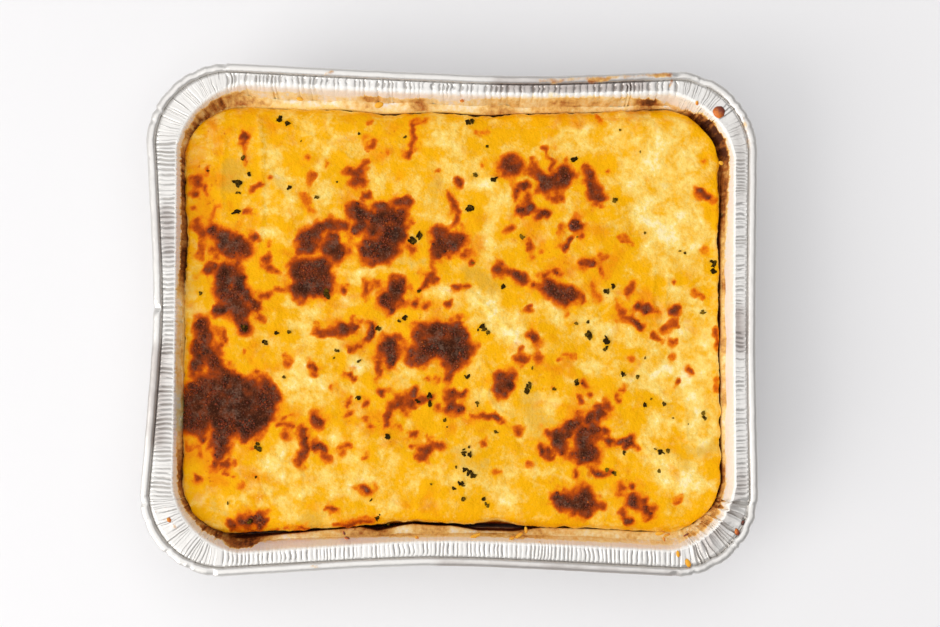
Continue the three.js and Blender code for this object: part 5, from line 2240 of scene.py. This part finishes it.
HERB_SPOTS = (
    (278, 119, 3.6), (288, 124, 3.4), (243, 158, 2.2), (250, 174, 3.2), (238, 183, 4.4), (238, 193, 2.2),
    (237, 213, 3.8), (289, 188, 3.2), (317, 198, 2.4), (208, 171, 1.6), (337, 182, 1.2), (301, 141, 1.1),
    (359, 134, 1.3), (405, 137, 1.8), (470, 121, 4.2), (487, 146, 2.4), (475, 175, 2.6), (494, 180, 3.8),
    (469, 208, 4.0), (411, 240, 4.0), (419, 236, 4.4), (415, 242, 3.2), (522, 238, 2.3), (575, 159, 3.6),
    (614, 200, 2.4), (640, 152, 1.5), (645, 233, 1.4), (620, 130, 1.1), (577, 237, 1.2), (680, 251, 1.4),
    (685, 253, 1.3), (201, 293, 2.4), (245, 328, 4.0), (266, 342, 3.4), (276, 332, 3.0), (289, 332, 1.8),
    (327, 293, 4.8), (338, 350, 2.4), (334, 358, 1.5), (284, 377, 1.6), (358, 398, 2.8), (359, 361, 2.2),
    (378, 328, 3.2), (405, 319, 2.8), (399, 321, 1.8), (484, 329, 3.8), (488, 333, 2.4), (478, 330, 1.6),
    (419, 291, 2.0), (503, 286, 2.8), (468, 377, 3.2), (528, 385, 3.6), (527, 391, 3.4), (532, 368, 1.6),
    (429, 396, 3.2), (430, 402, 2.8), (473, 263, 1.5), (607, 291, 3.2), (613, 286, 3.2), (576, 323, 2.2),
    (588, 322, 1.8), (589, 335, 4.2), (607, 341, 4.6), (606, 348, 2.2), (645, 358, 1.5), (623, 374, 3.2),
    (639, 377, 2.6), (577, 382, 3.6), (554, 389, 2.0), (713, 264, 4.0), (713, 272, 3.6), (703, 313, 2.4),
    (258, 446, 4.6), (228, 503, 1.7), (256, 477, 1.5), (376, 519, 3.4), (388, 525, 1.6), (386, 436, 3.0),
    (418, 400, 2.8), (445, 420, 2.4), (477, 404, 2.4), (496, 432, 2.1), (464, 452, 3.6), (469, 454, 3.2),
    (469, 447, 1.5), (456, 467, 1.8), (467, 472, 4.0), (473, 474, 3.2), (462, 483, 3.0), (453, 488, 2.8),
    (463, 498, 3.0), (483, 499, 2.4), (487, 505, 2.3), (371, 500, 1.7), (431, 484, 1.5), (447, 427, 1.1),
    (645, 405, 2.8), (651, 399, 1.2), (664, 404, 2.0), (703, 413, 2.6), (704, 418, 2.2), (661, 453, 3.0),
    (668, 451, 2.2), (655, 449, 1.9), (624, 452, 2.9), (659, 471, 1.9), (614, 473, 2.4), (607, 470, 2.0),
    (673, 418, 0.9), (688, 424, 0.8), (251, 520, 4.0),
)


@dataclass
class HerbFlecks:
    """Chopped leaves baked into the crust, each a few curled chips."""

    camera: OverheadCamera
    crust: Lasagne
    finish: HerbFinish
    seed: int = 31
    chips: int = 4
    several_above: float = 2.0       # radius in picture units above which a fleck is several chips
    dark_above: float = 2.6          # and above which it is darker
    thickness: float = 0.3

    def chip(self, ball: Array, size: float, random: np.random.Generator) -> Array:
        """Shapes one curled chip of leaf.

        Args:
            ball: Vertices of the unit ball.
            size: Rough radius of the chip.
            random: Source of its outline.

        Returns:
            The chip's vertices about its own middle.
        """
        angle = np.arctan2(ball[:, 1], ball[:, 0])
        lobes = 1.0 + 0.14 * np.sin(3 * angle + random.uniform(0, 6))
        lobes += 0.1 * np.sin(5 * angle + random.uniform(0, 6))
        flat = ball[:, :2] * (size * lobes)[:, None] * [1.0, random.uniform(0.4, 0.9)]
        curl = random.uniform(0.1, 0.32) * (flat[:, 0] ** 2 + 0.4 * flat[:, 0] * flat[:, 1]) / size
        ripple = 0.18 * np.sin(2.4 * flat[:, 1] / size + random.uniform(0, 6))
        return np.column_stack([flat, ball[:, 2] * self.thickness + curl + ripple])

    def build(self) -> bpy.types.Object:
        """Lays the flecks on the crust.

        Returns:
            The flecks, riding on the body.
        """
        random = np.random.default_rng(self.seed)
        unit = self.camera.unit_at(CRUST_TOP)
        spots = self.camera.cast([(across, down) for across, down, _ in HERB_SPOTS], CRUST_TOP)
        levels = self.crust.surface_at(spots)
        template = blob_template(2)
        ball = read_points(template.data) * MM
        copies = []
        for (_, _, radius), spot, level in zip(HERB_SPOTS, spots, levels):
            size = radius * unit
            count = self.chips if radius > self.several_above else 1
            for _ in range(count):
                share = random.uniform(0.4, 0.85) if count > 1 else 1.0
                shape = self.chip(ball, size * share * random.uniform(0.9, 1.25), random)
                shape = shape @ random_turn(random, tilt=14.0).T
                offset = random.normal(0.0, 0.34 * size, 2) if count > 1 else np.zeros(2)
                shape += [spot[0] + offset[0], spot[1] + offset[1], level + random.uniform(0.05, 0.4)]
                tones = (0.05, 0.6) if radius > self.dark_above else (0.35, 0.9)
                tone = random.uniform(*tones)
                copies.append((shape, tone))
        flecks = spread_copies("herb_flecks", template, copies)
        shade(flecks)
        flecks.data.materials.append(self.finish.build())
        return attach(flecks, "root")


# --- Spills on the foil ---

@dataclass(frozen=True)
class Bit:
    """A drop or crumb."""

    across: float
    down: float
    half_length: float           # in picture units
    half_width: float
    turn: float                  # degrees clockwise
    level: float                 # of its foot
    tone: float
    rise: float = 0.6            # its height as a share of its half width


def bits(*rows: tuple[float, ...]) -> tuple[Bit, ...]:
    """Bits from rows of their numbers in order."""
    return tuple(Bit(*row) for row in rows)


@dataclass
class Spills:
    """Loose bits of cheese and a drop of sauce on the tray."""

    camera: OverheadCamera
    seed: int = 41
    # painted shading: each bit is painted lighter on its front left, towards the key light, and darker on
    # its back right
    shading: float = 0.35                # how much a bit's tone changes across it
    sauce: tuple[Bit, ...] = bits(
        (719, 112, 6.2, 6.2, 0, FLANGE_TOP - 0.1, 0.3, 0.4),
        (737, 532, 3.4, 2.4, 70, FLANGE_TOP + 0.3, 0.3),
        (743, 523, 2.6, 1.6, 110, FLANGE_TOP + 0.4, 0.95),
        (147, 456, 1.8, 1.6, 0, TRAY_HEIGHT - 0.8, 0.4), (344, 533, 2.2, 1.2, 60, 52, 0.45),
        (347, 538, 2.8, 1.4, 10, 53.5, 0.3), (686, 535, 3.2, 1, -30, 53, 0.5),
    )
    cheese: tuple[Bit, ...] = bits(
        (697, 103, 2.4, 1.6, 90, FLANGE_TOP + 0.1, 0.6), (721, 163, 2.6, 2, 30, FLANGE_TOP - 0.2, 0.1),
        (169, 520, 2.6, 2, 60, FLANGE_TOP + 0.2, 0.8), (688, 563, 4.4, 2.6, 65, FLANGE_TOP + 0.3, 0.1),
        (678, 554, 3.4, 1.8, 80, FLANGE_TOP + 0.3, 0.2), (379, 105, 4.6, 3, -20, 51.5, 0),
        (300, 99, 3.4, 2, 10, 53.5, 0), (462, 101, 2.2, 1.6, 0, 53, 0.9),
        (475, 536, 6, 2, -25, 52.5, 0.05), (512, 538, 3.2, 1.8, -30, 54, 0.35),
        (519, 535, 4.6, 1.7, -35, 53, 0.2), (526, 530, 3.6, 1.6, 80, 51.5, 0.1),
        (417, 538, 2.6, 1.8, 60, 54, 0.5), (486, 543, 1.8, 1.4, 0, 56, 0.8),
        (495, 543, 1.3, 1.1, 0, 56, 0.5), (540, 543, 2, 1.3, 40, 56, 0.5),
        (315, 566, 2, 1.2, 0, FLANGE_TOP + 0.2, 0.8), (329, 73, 2.6, 1.8, 0, TRAY_HEIGHT - 0.8, 0.2),
        (667, 535, 3.6, 1.4, -20, 52, 0.5), (664, 539, 2.6, 1.2, 70, 53.5, 0.7),
        (660, 533, 5, 2.2, -12, 51, 0.2),
    )

    def scatter(
        self, name: str, group: Sequence[Bit], material: bpy.types.Material,
    ) -> bpy.types.Object:
        """Makes one piece of bits that share a finish.

        Args:
            name: Name of the piece.
            group: The bits.
            material: Their finish.

        Returns:
            The piece.
        """
        random = np.random.default_rng(self.seed)
        template = blob_template(3)
        ball = read_points(template.data) * MM
        copies = []
        for bit in group:
            unit = self.camera.unit_at(bit.level)
            length, width = bit.half_length * unit, bit.half_width * unit
            angle = np.arctan2(ball[:, 1], ball[:, 0])
            lobes = 1.0 + 0.03 * np.sin(3 * angle + random.uniform(0, 6)) + 0.02 * np.sin(7 * angle)
            rise = bit.rise * min(length, width)
            flat = ball[:, :2] * [length, width] * lobes[:, None]
            shape = np.column_stack([flat, np.maximum(ball[:, 2], -0.4) * rise])
            turn = np.array(Matrix.Rotation(math.radians(-bit.turn), 3, "Z"))
            spot = self.camera.cast([(bit.across, bit.down)], bit.level)[0]
            # Painted shading: lighter towards the front left, where the key light is.
            tone = bit.tone + self.shading * (ball[:, 0] + ball[:, 1])
            copies.append((shape @ turn.T + [spot[0], spot[1], bit.level + 0.15 * rise], tone))
        piece = spread_copies(name, template, copies)
        shade(piece)
        piece.data.materials.append(material)
        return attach(piece, "root")

    def build(self) -> list[bpy.types.Object]:
        """Makes the sauce drops and the cheese crumbs."""
        return [
            self.scatter("sauce_drops", self.sauce, BurntSauceFinish().build()),
            self.scatter("cheese_crumbs", self.cheese, CrumbFinish().build()),
        ]


# --- Studio ---

@dataclass(frozen=True)
class Softbox:
    """A square area light, aimed at the meal."""

    name: str
    place: tuple[float, float, float]      # metres
    size: float                            # metres
    power: float                           # watts
    colour: Rgb = (255, 255, 255)


@dataclass(frozen=True)
class Studio:
    """White sheet, soft key light from the front left, and a pale room around."""

    backdrop: BackdropFinish
    softboxes: tuple[Softbox, ...] = (
        Softbox("key", (-1.8, -1.0, 1.5), 1.6, 27.5, (255, 253, 250)),
        Softbox("top", (-0.2, 0.2, 2.4), 3.2, 33.0),
    )
    room_light: float = 0.4
    room_slant: float = 0.35               # how much brighter the room is on the left
    room_heights: tuple[tuple[float, float], ...] = (      # how bright it is, from its walls to overhead
        (0.0, 2.2), (0.25, 1.9), (0.5, 1.3), (0.75, 1.0), (1.0, 0.8),
    )
    floor_size: float = 12.0

    def build(self) -> None:
        """Makes the floor, the lights and the room."""
        deselect_all()
        bpy.ops.mesh.primitive_plane_add(size=self.floor_size, location=(0.0, 0.0, 0.0))
        floor = bpy.context.active_object
        floor.name = "white_sheet"
        floor.data.materials.append(self.backdrop.build())
        for softbox in self.softboxes:
            self.light(softbox)
        self.room()

    @staticmethod
    def light(softbox: Softbox) -> None:
        """Adds one softbox.

        Args:
            softbox: Its name, place, size, power and colour.
        """
        deselect_all()
        bpy.ops.object.light_add(type="AREA", location=softbox.place)
        light = bpy.context.active_object
        light.name = f"{softbox.name}_softbox"
        light.data.shape = "SQUARE"
        light.data.size = softbox.size
        light.data.energy = softbox.power
        light.data.color = srgb(*softbox.colour)[:3]
        towards = Vector((0.0, 0.0, 0.03)) - Vector(softbox.place)
        light.rotation_euler = towards.to_track_quat("-Z", "Y").to_euler()

    def room(self) -> None:
        """Lights the scene from a pale room, brighter at its walls and on the left than overhead."""
        graph = Graph("pale_room", world=True)
        bpy.context.scene.world = graph.owner
        way = graph.add("SeparateXYZ", Vector=graph.coordinates)
        ramp = graph.add("ValToRGB", Fac=way.outputs["Z"])
        set_stops(
            ramp.color_ramp, [(at, (value, value, value * 1.01, 1.0)) for at, value in self.room_heights],
        )
        strength = graph.math(
            "MULTIPLY_ADD", way.outputs["X"], -self.room_slant * self.room_light, self.room_light,
        )
        background = graph.add("Background", Color=ramp.outputs["Color"], Strength=strength)
        graph.add("OutputWorld", Surface=background.outputs["Background"])
        bpy.context.scene.view_settings.view_transform = "Standard"


# --- The meal ---

def main() -> None:
    """Builds the studio and the meal, and reports each piece."""
    logging.basicConfig(level=logging.INFO, format="%(name)s: %(message)s")
    camera = OverheadCamera()
    camera.build()
    Studio(BackdropFinish()).build()
    tray = FoilTray(camera, FoilFinish()).build()
    residue = WallResidue(ResidueFinish()).build()
    crust = Lasagne(camera, BakedCheeseFinish())
    block = crust.build()
    blisters = CharBlisters(crust, BurntSauceFinish(gloss=0.22)).build()
    herbs = HerbFlecks(camera, crust, HerbFinish()).build()
    spills = Spills(camera).build()
    for piece in (tray, residue, block, blisters, herbs, *spills):
        triangles = sum(len(polygon.vertices) - 2 for polygon in piece.data.polygons)
        LOG.info("%s: %d triangles", piece.name, triangles)


if __name__ == "__main__":
    main()
